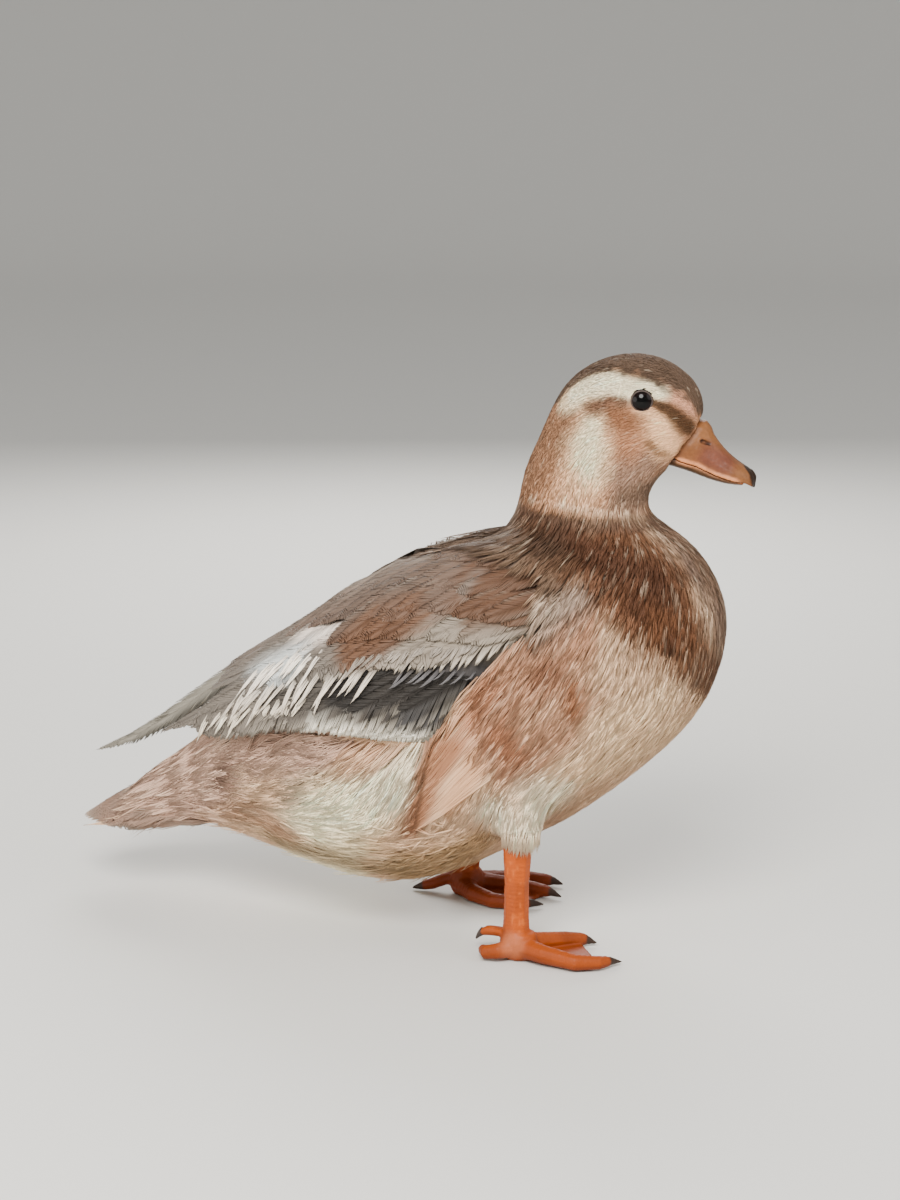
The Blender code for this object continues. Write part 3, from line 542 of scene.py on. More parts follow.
def along_path(rows, shares):
    """Rows of a path read at shares of its length."""
    steps = np.linspace(0, 1, len(rows))
    return np.stack([np.interp(shares, steps, rows[:, k]) for k in range(3)], axis=-1)


VANE_PROFILE = ((0, 0.12, 0.3, 0.6, 0.8, 0.92, 1.0), (0.25, 0.75, 0.97, 1.0, 0.82, 0.52, 0.08))
# Ways of growing: the barbs' slant from the shaft on the upper and lower vane, how firmly they draw
# together there, the millimetres of barbs in a bunch, how narrow the tip is, how much of the vane is
# closed, and how wide each vane is as a share of the feather
SMOOTH = dict(slant=(26, 26), split=(0.08, 0.08), bunch=2.2, narrow=0.15, closed=0.92, share=(0.5, 0.5))
SOFT = dict(slant=(32, 32), split=(0.25, 0.3), bunch=2.4, narrow=0.1, closed=0.8, share=(0.5, 0.5))
COMBED = dict(slant=(26, 40), split=(0.3, 0.93), bunch=5.6, narrow=0.2, closed=0.36, share=(0.28, 0.72))
FRINGED = dict(slant=(24, 34), split=(0.1, 0.8), bunch=5.0, narrow=0.3, closed=0.74, share=(0.4, 0.6))
PLUMED = dict(slant=(16, 16), split=(0.75, 0.75), bunch=3.2, narrow=0.75, closed=0.45, share=(0.5, 0.5))
TAPERED = dict(slant=(15, 15), split=(0.35, 0.35), bunch=2.6, narrow=0.8, closed=0.8, share=(0.5, 0.5))
HEMMED = dict(slant=(26, 36), split=(0.3, 0.4), bunch=4.2, narrow=0.2, closed=0.55, share=(0.3, 0.7))
LONG = dict(slant=(15, 26), split=(0.1, 0.75), bunch=3.2, narrow=0.7, closed=0.7, share=(0.4, 0.6))


def barbed_feather(path, outs, sides, width, draw, cell, tint, way, spacing=0.85, camber=0.009):
    """The wedges of one feather: a shaft, the closed part of its vane and the barbs beyond.

    path, outs and sides are its shaft, the way out and the way across, and tint gives the colour
    of points from (points, share along, share across).
    """
    length = float(np.linalg.norm(np.diff(path, axis=0), axis=1).sum())
    half = width / 2
    profile = np.array(VANE_PROFILE[1]) * (1 - way["narrow"] * np.array(VANE_PROFILE[0]) ** 2)
    corner, size = cell

    def laid(along, across, up):
        """A place on the feather from its share along, millimetres across and up."""
        base = along_path(path, along) + along_path(sides, along) * across[..., None]
        return base + along_path(outs, along) * (up - camber * across**2)[..., None]

    def unwrapped(along, across):
        u = corner[0] + size * (0.04 + 0.92 * np.clip(along, 0, 1.05) / 1.05)
        v = corner[1] + size * np.clip(0.5 + 0.33 * across / half, 0.03, 0.97)
        return np.stack([u, v], axis=-1)

    parts = []

    def add(along, across, up, widths, heights, tip_along, tip_across, tip_up):
        places, tips = laid(along, across, up), laid(tip_along, tip_across, tip_up)
        points, triangles = wedges(places, along_path(outs, along), widths, heights, tips)
        shares, spans = at_corners(along, tip_along), at_corners(across, tip_across)
        parts.append((points, triangles, tint(points, shares, spans / half), unwrapped(shares, spans)))

    stations = np.array([0.02, 0.2, 0.4, 0.6, 0.78, 0.92])
    envelope = np.interp(stations, VANE_PROFILE[0], profile) * half * way["closed"]
    middle = envelope * (way["share"][1] - way["share"][0])
    flat_row = np.zeros((1, len(stations)))
    add(stations[None], middle[None], flat_row - 0.12, envelope[None], flat_row + 0.1,
        np.array([0.985]), np.zeros(1), np.array([-0.12]))
    shaft = np.interp(stations, (0, 1), (0.4, 0.14)) * (0.5 + width / 40)
    add(stations[None], flat_row, flat_row + 0.04, shaft[None], shaft[None] * 0.9,
        np.array([1.0]), np.zeros(1), np.array([0.05]))
    count = max(6, int(length / spacing))
    for side, slant, split, share in zip((-1, 1), way["slant"], way["split"], way["share"]):
        tangent = math.tan(math.radians(slant))
        wide = 2 * half * share
        start = np.linspace(0.02, 0.965, count) + draw.uniform(-0.3, 0.3, count) / count
        reach = wide * np.interp(start + 0.5 * wide / tangent / length, VANE_PROFILE[0], profile)
        end = start + reach / tangent / length
        over = np.maximum(end - 1.01, 0)
        end -= over
        reach = wide * np.interp(np.minimum(end, 1.0), VANE_PROFILE[0], profile)
        reach *= (1 - 0.3 * np.minimum(over * 4, 1)) * draw.uniform(0.94, 1.05, count)
        breaks = np.cumsum(draw.uniform(0.45, 1.55, 4 + int(2 * length / way["bunch"])) * way["bunch"])
        group = np.searchsorted(breaks - breaks[0] * draw.uniform(0, 1), start * length)
        group = np.unique(group, return_inverse=True)[1]
        members = np.maximum(np.bincount(group), 1)
        mean_end = (np.bincount(group, end) / members)[group]
        mean_reach = (np.bincount(group, reach) / members)[group]
        firm = np.clip(split * draw.uniform(0.75, 1.15, len(members)), 0, 0.95)[group]
        longer = 1 + 0.22 * firm * draw.uniform(-0.6, 1.0, len(members))[group]
        end_tip = end + (mean_end - end) * firm
        reach_tip = (reach + (mean_reach - reach) * firm) * longer
        shares = np.array([0.0, 0.52, 0.84])
        pull = np.array([0.0, 0.36, 0.82])
        along = start[:, None] + (end - start)[:, None] * shares + (end_tip - end)[:, None] * pull
        across = reach[:, None] * shares + (reach_tip - reach)[:, None] * pull
        lift = 0.5 * firm * draw.uniform(-0.3, 1.0, len(members))[group]
        rise = (0.22 * draw.uniform(0.3, 1.0, count) + lift)[:, None] * np.array([0.0, 0.8, 1.0])
        thick = spacing * np.array([0.6, 0.66, 0.42]) * math.sin(math.radians(slant)) * 1.45
        widths = np.tile(thick, (count, 1)) * draw.uniform(0.85, 1.15, (count, 1))
        add(along, side * across, rise, widths, widths * 0.4, end_tip, side * reach_tip, rise[:, 2] * 0.9)
    return parts


def strand(path, outs, sides, width, draw, cell, tint, hairs=6):
    """The wedges of one wet strand: hairs side by side that draw together in a fine point."""
    corner, size = cell
    length = float(np.linalg.norm(np.diff(path, axis=0), axis=1).sum())
    first = draw.uniform(0, 0.12, hairs)
    last = draw.uniform(0.72, 1.0, hairs)
    last[hairs // 2] = 1.0
    along = first[:, None] + (last - first)[:, None] * np.linspace(0, 0.84, max(3, int(length / 8)))
    offset = (np.linspace(-0.5, 0.5, hairs) + draw.uniform(-0.08, 0.08, hairs)) * width
    across = offset[:, None] * np.interp(along, (0, 0.4, 1), (1, 0.8, 0.08))
    rise = draw.uniform(0, 0.3, hairs)
    base = along_path(path, along) + along_path(sides, along) * across[..., None]
    out = along_path(outs, along)
    places = base + out * rise[:, None, None]
    tip_across = offset * np.interp(last, (0, 0.4, 1), (1, 0.8, 0.08))
    tips = along_path(path, last) + along_path(sides, last) * tip_across[:, None]
    widths = width / hairs * np.interp(along, (0, 0.4, 0.85, 1), (1.0, 1.15, 0.8, 0.5))
    points, triangles = wedges(places, out, widths, widths * 0.45, tips)
    shares, spans = at_corners(along, last), at_corners(across, tip_across)
    u = corner[0] + size * (0.04 + 0.92 * shares)
    v = corner[1] + size * np.clip(0.5 + 0.4 * spans / width, 0.03, 0.97)
    return [(points, triangles, tint(points, shares, spans / width), np.stack([u, v], axis=-1))]


# Wings
# Each folded wing is a bed of down, darkened as painted shade under the feathers, with its feathers
# laid over it in tiers: flight feathers and their coverts below, and the shoulder feathers on top. Wet
# barbs hang together like a comb.

# Sections of the wings' form, as (x, height of its axis, half height, half width)
WING_FORM = np.array([
    (-225, 58, 5, 6), (-190, 69.5, 10, 13), (-165, 79, 17, 24), (-145, 86.5, 25, 35),
    (-125, 91.5, 33, 45), (-105, 95, 43, 53), (-85, 97, 55, 59), (-60, 98, 68, 63),
    (-35, 98, 77, 64.5), (-10, 98, 83, 66), (20, 98, 88, 65.5), (45, 100, 86, 56)], float)
# Where the lower margin lies, as (x, height), and the upper one, as (x, distance from the middle)
WING_EDGE = np.array([
    (-135, 88), (-105, 94), (-60, 94.5), (-33, 97), (-22, 108), (-13, 121), (2, 139), (24, 152),
    (36, 164)], float)
WING_TOP = np.array([(-120, 5), (-45, 7), (-20, 12), (0, 24), (20, 35), (36, 36)], float)
WING_ENDS = (-122.0, 36.0)
BED_DEPTH = 3.0
BED_PAINTED_SHADE = 0.6
SKIN_UNDER = 5.0
OVER_SKIN = 2.2
PROBE_OUT = 9.0
PROBE_REACH = 30
# Millimetres round the wing's form for each radian, about
WING_ROUND = 62.0


def wing_section(x):
    return [np.interp(x, WING_FORM[:, 0], WING_FORM[:, k]) for k in (1, 2, 3)]


def angle_round_wing(points):
    axis, height, half_width = wing_section(points[:, 0])
    return np.arctan2(np.abs(points[:, 1]) / half_width, (points[:, 2] - axis) / height)


def wing_edge_angle(x):
    axis, height, _ = wing_section(x)
    lowest = np.interp(x, WING_EDGE[:, 0], WING_EDGE[:, 1])
    return np.arccos(np.clip((lowest - axis) / height, -1, 1))


def wing_top_angle(x):
    half_width = wing_section(x)[2]
    return np.arcsin(np.minimum(0.9, np.interp(x, WING_TOP[:, 0], WING_TOP[:, 1]) / half_width))


def on_wing(x, angle, out, side):
    """Places over the wing's form at x and an angle round it, and the directions out of it."""
    axis, height, half_width = wing_section(x)
    normal = unit(np.stack([0 * x, side * np.sin(angle) / half_width, np.cos(angle) / height], axis=-1))
    place = np.stack([x, side * half_width * np.sin(angle), axis + height * np.cos(angle)], axis=-1)
    return place + normal * np.asarray(out)[..., None], normal


def tree_of(grids=()):
    """A surface to lay things on: the skin, with grids of points over it."""
    points = [tuple(p) for p in corners(skin_mesh)[0]]
    skin_mesh.calc_loop_triangles()
    faces = [tuple(t.vertices) for t in skin_mesh.loop_triangles]
    for rows in grids:
        start, columns = len(points), rows.shape[1]
        points += [tuple(p) for p in rows.reshape(-1, 3)]
        for i, j in itertools.product(range(rows.shape[0] - 1), range(columns - 1)):
            k = start + i * columns + j
            faces += [(k, k + 1, k + columns + 1), (k, k + columns + 1, k + columns)]
    return BVHTree.FromPolygons(points, faces)


bare = tree_of()
BED_XS = np.linspace(*WING_ENDS, 60)
BED_ANGLES = np.linspace(0.05, 1.75, 50)
BED_COLUMNS = 30


def bed_maps(side):
    """Over x and angle: how far in the skin lies, how far out the bed does, and how deep inside."""
    gap = np.full((len(BED_XS), len(BED_ANGLES)), SKIN_UNDER)
    for i, x in enumerate(BED_XS):
        for j, angle in enumerate(BED_ANGLES):
            place, normal = on_wing(np.float64(x), angle, PROBE_OUT, side)
            hit = bare.ray_cast(Vector(place), -Vector(normal), PROBE_REACH)
            if hit[0] is not None:
                gap[i, j] = hit[3] - PROBE_OUT
    x, angle = np.meshgrid(BED_XS, BED_ANGLES, indexing="ij")
    low, top = wing_edge_angle(x), wing_top_angle(x)
    inside = ease(0, 14, (low - angle) * WING_ROUND) * ease(0, 12, (angle - top) * WING_ROUND)
    inside *= ease(0, 24, WING_ENDS[1] - x)
    out = -gap + 0.9 + np.maximum(gap - 0.6 - BED_DEPTH, 0) * inside
    return gap, out, inside


def read_map(values, x, angle):
    """A map's values between its points, held at its edges."""
    i = np.clip(np.interp(x, BED_XS, np.arange(len(BED_XS))), 0, len(BED_XS) - 1.001)
    j = np.clip(np.interp(angle, BED_ANGLES, np.arange(len(BED_ANGLES))), 0, len(BED_ANGLES) - 1.001)
    a, b = i.astype(int), j.astype(int)
    s, t = i - a, j - b
    low = values[a, b] * (1 - t) + values[a, b + 1] * t
    high = values[a + 1, b] * (1 - t) + values[a + 1, b + 1] * t
    return low * (1 - s) + high * s


BEDS = {side: bed_maps(side) for side in (-1, 1)}

WING_BASE = (172, 163, 153)
SILVER = (158, 148, 136)
TAUPE = (120, 98, 84)
SLATE = (50, 46, 43)
WING_CHESTNUT = (112, 78, 56)
REAR_GREY = (142, 134, 125)
FRINGE_COLOUR = (224, 217, 206)
PAINTED_SHEEN_COLOUR = (150, 128, 114)
EDGE_COLOUR = (168, 146, 132)
# The wing's markings are drawn on one side view: a stroke's points are (x, height, half width)
WING_STROKES = [
    ([(6, 168, 13), (-30, 162, 15), (-62, 144, 14), (-90, 132, 10)], TAUPE, 0.95, 0.2),
    ([(-60, 158, 8), (-90, 140, 8), (-125, 118, 8), (-160, 98, 8)], (122, 104, 92), 0.85, 0.4),
    ([(14, 148, 8), (-6, 145, 8), (-24, 144, 9), (-40, 138, 8)], SILVER, 0.9, 0.4),
    ([(-26, 158, 6), (-18, 153, 7), (-8, 154, 7), (4, 154, 7)], WING_CHESTNUT, 0.9, 0.5),
    ([(-24, 166, 5), (-8, 161, 6), (-3, 164, 6), (7, 165, 6)], WING_CHESTNUT, 0.85, 0.5),
    ([(-13, 169, 5)], WING_CHESTNUT, 0.7, 0.7),
    ([(-23, 159, 2.4), (-21, 164, 2.4)], (150, 138, 128), 0.8, 0.7),
    ([(-3, 169, 2.4), (0, 174, 2.4)], (150, 138, 128), 0.8, 0.7),
    ([(-13, 168, 4)], WING_CHESTNUT, 0.8, 0.7),
    ([(-44, 150, 7), (-60, 142, 9), (-72, 131, 8), (-82, 124, 7)], (122, 88, 66), 0.95, 0.5),
    ([(-34, 158, 8)], (126, 104, 90), 0.8, 0.4),
    ([(20, 172, 6), (10, 176, 6)], (92, 67, 50), 0.85, 0.6),
    ([(-84, 116, 15), (-110, 112, 17), (-135, 98, 15), (-165, 84, 12)], REAR_GREY, 0.95, 0.3),
    ([(-76, 112, 10), (-92, 110, 10), (-108, 106, 8)], (92, 86, 80), 0.85, 0.7),
    ([(-10, 126, 9), (-28, 118, 15), (-50, 115, 13), (-66, 113, 10), (-78, 112, 6)], SLATE, 0.97, 0.4),
    ([(-14, 127, 5), (-28, 127, 5)], (128, 124, 124), 0.6, 0.8),
    ([(-14, 113, 5), (-28, 105, 5), (-48, 103, 4)], (92, 91, 92), 0.7, 0.6),
    ([(-26, 99, 2.4), (-46, 98.8, 3.8), (-66, 98.4, 4.6), (-88, 97.4, 5.4)], (250, 246, 236), 0.97, 0.45),
    ([(-100, 123, 5), (-122, 113, 5)], (200, 202, 201), 0.75, 0.7),
    ([(-88, 133, 3), (-104, 128, 3.5)], (208, 200, 193), 0.7, 0.7),
]
FLAT_AT = 50
WING_MARKS = [([(x, FLAT_AT, height, half) for x, height, half in stroke], *look)
              for stroke, *look in WING_STROKES]


def wing_colour(points):
    flat = points.copy()
    flat[:, 1] = FLAT_AT
    return marked(flat, WING_BASE, WING_MARKS, 0.12, 6.0)


# Tiers from the lowest up: how many feathers, their first and last roots and tips as (x, angle), their
# widths, how far out root, middle and tip lie, and the way they grow
WING_TIERS = [
    ("primaries", 5, ((-72, 1.34), (-84, 0.95)), ((-150, 1.46), (-176, 1.2)), (9, 12),
     (-3.0, -1.8, -1.4), LONG),
    ("secondaries", 13, ((-8, 1.2), (-96, 0.98)), ((-58, 1.58), (-156, 1.45)), (15, 20),
     (-3.0, -1.8, -1.0), HEMMED),
    ("tertials", 5, ((-88, 0.84), (-76, 0.42)), ((-158, 1.28), (-120, 0.78)), (17, 13),
     (-3.0, -0.6, 0.2), FRINGED),
    ("inner_tertials", 6, ((-70, 0.6), (-72, 0.12)), ((-148, 0.74), (-146, 0.14)), (15, 15),
     (-3.0, 0.0, 0.2), SOFT),
    ("greater_coverts", 12, ((10, 0.92), (-70, 0.74)), ((-34, 1.1), (-112, 1.08)), (16, 17),
     (-3.0, -0.8, 0.0), COMBED),
    ("median_coverts", 11, ((20, 0.86), (-50, 0.6)), ((-16, 1.02), (-86, 0.88)), (12, 12),
     (-3.0, 0.0, 0.6), SOFT),
    ("lesser_coverts", 10, ((24, 0.76), (-30, 0.5)), ((-6, 0.92), (-66, 0.72)), (11, 12),
     (-3.0, 0.4, 1.0), SOFT),
    ("long_scapulars", 10, ((0, 0.64), (-60, 0.3)), ((-48, 0.86), (-112, 0.5)), (15, 13),
     (-2.8, 0.4, 0.9), SMOOTH),
    ("scapulars", 11, ((18, 0.6), (-50, 0.2)), ((-20, 0.74), (-96, 0.36)), (12, 13),
     (-2.8, 0.7, 1.1), SMOOTH),
    ("upper_scapulars", 10, ((14, 0.5), (-30, 0.16)), ((-16, 0.54), (-70, 0.2)), (10, 11),
     (-2.8, 0.8, 1.2), SMOOTH),
]
# Wet strands hang from the coverts over the flight feathers, and the last of these rows hems them: how
# many, the first and last starts as (x, angle), their lengths, their colour, how far out they lie, how
# steeply they hang in degrees and how wide they are
STRAND_ROWS = [
    (20, ((-12, 1.0), (-66, 1.0)), (10, 17), (172, 164, 155), 0.8, 58, 1.5),
    (17, ((-58, 1.12), (-126, 0.98)), (23, 25), (204, 197, 188), 0.9, 60, 1.7),
    (12, ((-90, 1.24), (-142, 1.22)), (20, 17), (212, 205, 194), 0.5, 57, 1.6),
    (8, ((-84, 0.84), (-116, 0.74)), (27, 20), (214, 208, 200), 1.2, 48, 2.3),
    (9, ((-14, 1.16), (-44, 1.14)), (9, 13), (136, 133, 134), 0.7, 44, 1.0),
    (26, ((-26, 1.5), (-100, 1.5)), (20, 26), (248, 245, 236), 2.0, 8, 2.8),
]
# How far the lower front margin is tucked in under the feathers of the flank
TUCK = 6.0
# The far wing's longest feather lies along the top of the rump, turned a little to the right
FAR_SHAFT = [(-90, 8, 137), (-120, 10, 123), (-142, 11.5, 109), (-165, 12.5, 92.5), (-187, 13, 76.5),
             (-205, 13.5, 66), (-225, 14, 57.5)]
FAR_FACING = (0, -0.75, 0.66)
FAR_WIDTH = 16
FAR_BARBS = 0.9
# Two more lie beside it, each a little further out, lower and shorter, and facing more to the left
FAR_FEATHERS = 3
FAR_STEP = (3.0, 5.5, -1.6)
FAR_TURN = (0, 0.5, 0.1)
FAR_COLOUR = (158, 153, 143)
TIP_SCATTER = 2.0
# The station of a shaft whose place gives its feather its main colour, and the pitch of the barbs
COLOUR_STATION = 6
WING_BARBS = 0.95
EDGE_SHARE = 0.4
CELLS = 14
FAR_CELL = 193


def cell_of(number):
    """A feather's own square on the unwrap."""
    size = 1 / CELLS
    return (number % CELLS * size, number // CELLS * size), size


def wing_feather_path(root, tip, lift, side, bend):
    """A feather's shaft over the wing, its lifts shrinking where the wing thins towards its edges."""
    shares = np.linspace(0, 1, 9)
    x = root[0] + (tip[0] - root[0]) * shares
    angle = root[1] + (tip[1] - root[1]) * shares + bend * np.sin(math.pi * shares)
    gap, bed, inside = (read_map(values, x, angle) for values in BEDS[side])
    behind = 1 - ease(WING_ENDS[0] - 2, WING_ENDS[0] + 14, x)
    bed = bed + (-BED_DEPTH - bed) * behind
    inside = inside + (1 - inside) * behind
    above = np.interp(shares, (0, 0.35, 1), lift) + BED_DEPTH
    out = bed + above * (EDGE_SHARE + (1 - EDGE_SHARE) * inside)
    covering = ease(0.35, 0.7, shares) * (1 - behind)
    out = np.maximum(out, (OVER_SKIN - gap) * covering + out * (1 - covering))
    places, normals = on_wing(x, angle, out, side)
    along = unit(np.gradient(places, axis=0))
    return places, normals, unit(np.cross(along, normals)) * side


def between(ends, share):
    """A place that lies a share of the way between two."""
    return [start + (end - start) * share for start, end in zip(*ends)]


def feather_tint(way, centre, tone, sheen_strength):
    """A wing feather's colours: the wing's markings there, a pale fringe, and a painted sheen if it is
    smooth.
    """
    def tint(points, along, across):
        colours = wing_colour(points + (centre - points) * 0.35) * tone
        fringe = ease(0.6, 1.0, np.abs(across)) * max(way["split"])
        colours = blended(colours, FRINGE_COLOUR, 0.4 * fringe)
        if way is SMOOTH:
            # Smooth feathers get a painted sheen down the middle of the outer vane
            painted_sheen = (1 - ease(0.3, 0.75, np.abs(across))) * ease(0.3, 0.6, along)
            colours = blended(colours, PAINTED_SHEEN_COLOUR, 0.35 * sheen_strength * painted_sheen)
            edge = ease(0.75, 0.98, np.abs(across)) + ease(0.93, 1.0, along)
            colours = blended(colours, EDGE_COLOUR, 0.3 * np.clip(edge, 0, 1))
        shaft = 1 - 0.1 * (np.abs(across) < 0.04)
        return grained(colours * shaft[:, None], points, 0.1, 1.4, 8)

    return tint


def wing_feathers(side):
    draw = np.random.default_rng(20 + side)
    parts, number = [], 0
    for _, count, roots, tips, widths, lift, way in WING_TIERS:
        for k in range(count):
            share = k / (count - 1)
            root, tip = between(roots, share), between(tips, share)
            tip[0] += float(draw.normal(0, TIP_SCATTER))
            width = widths[0] + (widths[1] - widths[0]) * share
            lifts = [value + 0.3 * (k % 2) for value in lift]
            path, outs, sides = wing_feather_path(root, tip, lifts, side, float(draw.normal(0, 0.01)))
            tint = feather_tint(way, path[COLOUR_STATION], float(draw.normal(1.0, 0.07)),
                                float(draw.uniform(0, 1)))
            parts += barbed_feather(path, outs, sides, width, draw, cell_of(number), tint, way, WING_BARBS)
            number += 1
    for count, starts, lengths, colour, lift, degrees, widest in STRAND_ROWS:
        for k in range(count):
            share = (k + float(draw.uniform(-0.35, 0.35))) / (count - 1)
            start = between(starts, share)
            length = (lengths[0] + (lengths[1] - lengths[0]) * share) * float(draw.uniform(0.6, 1.15))
            steep = math.radians(degrees) * float(draw.normal(1, 0.13))
            around = wing_section(start[0])[1]
            end = (start[0] - length * math.cos(steep), start[1] + length * math.sin(steep) / around)
            path, outs, sides = wing_feather_path(start, end, (-1.5, lift, lift + 0.3), side, 0.02)
            shade = float(draw.uniform(0.8, 1.1))

            def strand_tint(points, along, across):
                colours = plain(colour, points) * shade
                under = wing_colour(points)
                colours += (under - colours) * (0.7 * (1 - ease(0.0, 0.35, along)))[:, None]
                return grained(colours, points, 0.1, 1.2, 9)

            width = widest * float(draw.uniform(0.65, 1.3))
            parts += strand(path, outs, sides, width, draw, cell_of(number), strand_tint)
            number += 1
    for points, *_ in parts:
        x = points[:, 0]
        beyond = (angle_round_wing(points) - wing_edge_angle(x)) * wing_section(x)[2]
        points[:, 1] -= side * TUCK * ease(-7, 0, beyond) * ease(-44, -22, x)
    return parts


def far_feather_tint(points, along, across):
    # One vane darkens from the shaft outwards, as painted shade where the far feathers lie against the near
    # wing
    colours = plain(FAR_COLOUR, points) * (1 - 0.75 * ease(0.0, 0.55, across))[:, None]
    return grained(colours, points, 0.1, 1.4, 8)


def far_feathers():
    draw = np.random.default_rng(91)
    parts = []
    for k in range(FAR_FEATHERS):
        shaft = np.array(FAR_SHAFT, float)[: len(FAR_SHAFT) - k] + k * np.array(FAR_STEP)
        along = unit(np.gradient(shaft, axis=0))
        facing = np.array(FAR_FACING) + k * np.array(FAR_TURN)
        outs = np.tile(facing, (len(shaft), 1))
        outs = unit(outs - along * np.einsum("ij,ij->i", outs, along)[:, None])
        down = unit(np.cross(outs, along))
        parts += barbed_feather(shaft, outs, down, FAR_WIDTH, draw, cell_of(FAR_CELL + k),
                                far_feather_tint, LONG, FAR_BARBS)
    return parts


def bed_piece(name, side):
    """The bed: a thin closed shell from the skin out to where the feathers lie, darkened as painted shade.
    """
    gap, out, _ = BEDS[side]
    rows, low_rows = [], []
    for x in BED_XS:
        low = float(wing_edge_angle(x))
        angles = np.linspace(min(float(wing_top_angle(x)), low - 0.12), low, BED_COLUMNS)
        xs = np.full(BED_COLUMNS, x)
        top_out = read_map(out, xs, angles) - 3.0 * (1 - ease(0, 14, x - WING_ENDS[0]))
        low_out = np.minimum(top_out - 1.2, -read_map(gap, xs, angles) - 0.4)
        rows.append(on_wing(xs, angles, top_out, side)[0])
        low_rows.append(on_wing(xs, angles, low_out, side)[0])
    bed = bmesh.new()
    for grid in (rows, low_rows):
        grid_corners = [[bed.verts.new(placed(p)) for p in row] for row in grid]
        for upper, lower in zip(grid_corners, grid_corners[1:]):
            for k in range(len(upper) - 1):
                bed.faces.new((upper[k], upper[k + 1], lower[k + 1], lower[k]))
    bmesh.ops.bridge_loops(bed, edges=[edge for edge in bed.edges if edge.is_boundary])
    bmesh.ops.recalc_face_normals(bed, faces=bed.faces)
    mesh = mesh_of(bed, name)
    # The bed takes the wing's markings darkened, as painted shade under the feathers
    colours = BED_PAINTED_SHADE * wing_colour(corners(mesh)[0])
    return finished_piece(name, mesh, colours, down_finish)


vane_finish = finish_reading_tint("vane", 0.5, 0.5, 0.06, 0.2)
for side, word in ((-1, "right"), (1, "left")):
    bed = bed_piece(word + "_wing_bed", side)
    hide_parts("wing_" + word)
    feathers = wing_feathers(side) + (far_feathers() if side > 0 else [])
    wing = joined(word + "_wing_feathers", feathers, vane_finish)
    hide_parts("wing_" + word)

# Tail
# A short fan of pointed feathers, tented so that the outer ones face sideways, grows from a fleshy
# root, with three rows of loose coverts over and under it.

# Sections of the root, as (x and height of its top, x and height of its underside, half width)
TAIL_ROOT = [(-180, 60, -172, 36, 19), (-185, 55.5, -179, 34.8, 18.6), (-191, 50, -186, 34.8, 17),
             (-197, 44.5, -193.5, 35, 12.5)]
TAIL_TIP = (-223.0, 30.0)
TAIL_FAN = 27.0
TAIL_PAIRS = 9
TAIL_BASE = (170, 155, 143)
TAIL_ROSY = (172, 140, 122)
TAIL_DARK = (128, 104, 90)
TAIL_RIM = (205, 190, 176)
TAIL_ROOT_PAINTED_SHADE = 0.8


def tail_colour(points, along, across):
    rosy = ease(-0.4, 0.6, uneven(points, 9, 11))
    colours = blended(plain(TAIL_BASE, points), TAIL_ROSY, 0.6 * rosy)
    dark = ease(0.1, 0.8, uneven(points, 12, 13)) * (1 - along)
    colours = blended(colours, TAIL_DARK, 0.7 * dark)
    rim = ease(0.7, 1.0, np.abs(across)) + ease(0.9, 1.0, along)
    colours = blended(colours, TAIL_RIM, 0.5 * np.clip(rim, 0, 1))
    return grained(colours, points, 0.08, 1.3, 12)


def fanned_path(root, tip, out, sag):
    """A shaft from root to tip whose vane faces out, with a little sag."""
    start, end = np.array(root, float), np.array(tip, float)
    along = unit(end - start)
    out = np.array(out, float)
    out = unit(out - along * (out @ along))
    across = np.cross(along, out)
    shares = np.linspace(0, 1, 7)[:, None]
    path = start + (end - start) * shares + out * (sag * np.sin(math.pi * shares))
    return path, np.tile(out, (7, 1)), np.tile(across, (7, 1))


def tail_feathers():
    draw = np.random.default_rng(31)
    parts, number = [], 0
    for side in (-1, 1):
        for k in range(TAIL_PAIRS):
            out = (k + 0.5) / TAIL_PAIRS
            turn = math.radians(8 + 95 * out)
            facing = (0, side * math.sin(turn), math.cos(turn))
            root = (-172, side * 17 * math.sin(turn), 47 + 11 * math.cos(turn))
            tip = (TAIL_TIP[0] + 24 * out**2, side * (TAIL_FAN - 5) * out, TAIL_TIP[1] + 1.0 + 2.5 * out)
            path = fanned_path(root, tip, facing, 1.5)
            parts += barbed_feather(*path, 12, draw, cell_of(number), tail_colour, TAPERED)
            number += 1
    for row, (start, reach, lift) in enumerate(((-166, -211, 2.0), (-160, -200, 3.2), (-154, -189, 4.2))):
        for k in range(11):
            turn = math.radians(-130 + 260 * k / 10)
            facing = (0, math.sin(turn), math.cos(turn))
            root = (start, 18 * math.sin(turn), 48 + (12 + lift) * math.cos(turn))
            tip = (reach + 7 * abs(math.sin(turn)), 19 * math.sin(turn) * (1.05 - 0.1 * row),
                   34 + 4 * row + (3.5 + 1.6 * row) * math.cos(turn))
            path = fanned_path(root, tip, facing, 2.2)
            parts += barbed_feather(*path, 13, draw, cell_of(number), tail_colour, PLUMED)
            number += 1
    return parts


def section_points(section, sides):
    """A ring round the body between a point of its back and one of its belly."""
    top_x, top_z, low_x, low_z, half_width = section
    angles = np.linspace(0, 2 * math.pi, sides, endpoint=False)
    x = (top_x + low_x) / 2 + (top_x - low_x) / 2 * np.cos(angles)
    z = (top_z + low_z) / 2 + (top_z - low_z) / 2 * np.cos(angles)
    return np.stack([x, half_width * np.sin(angles), z], axis=1)


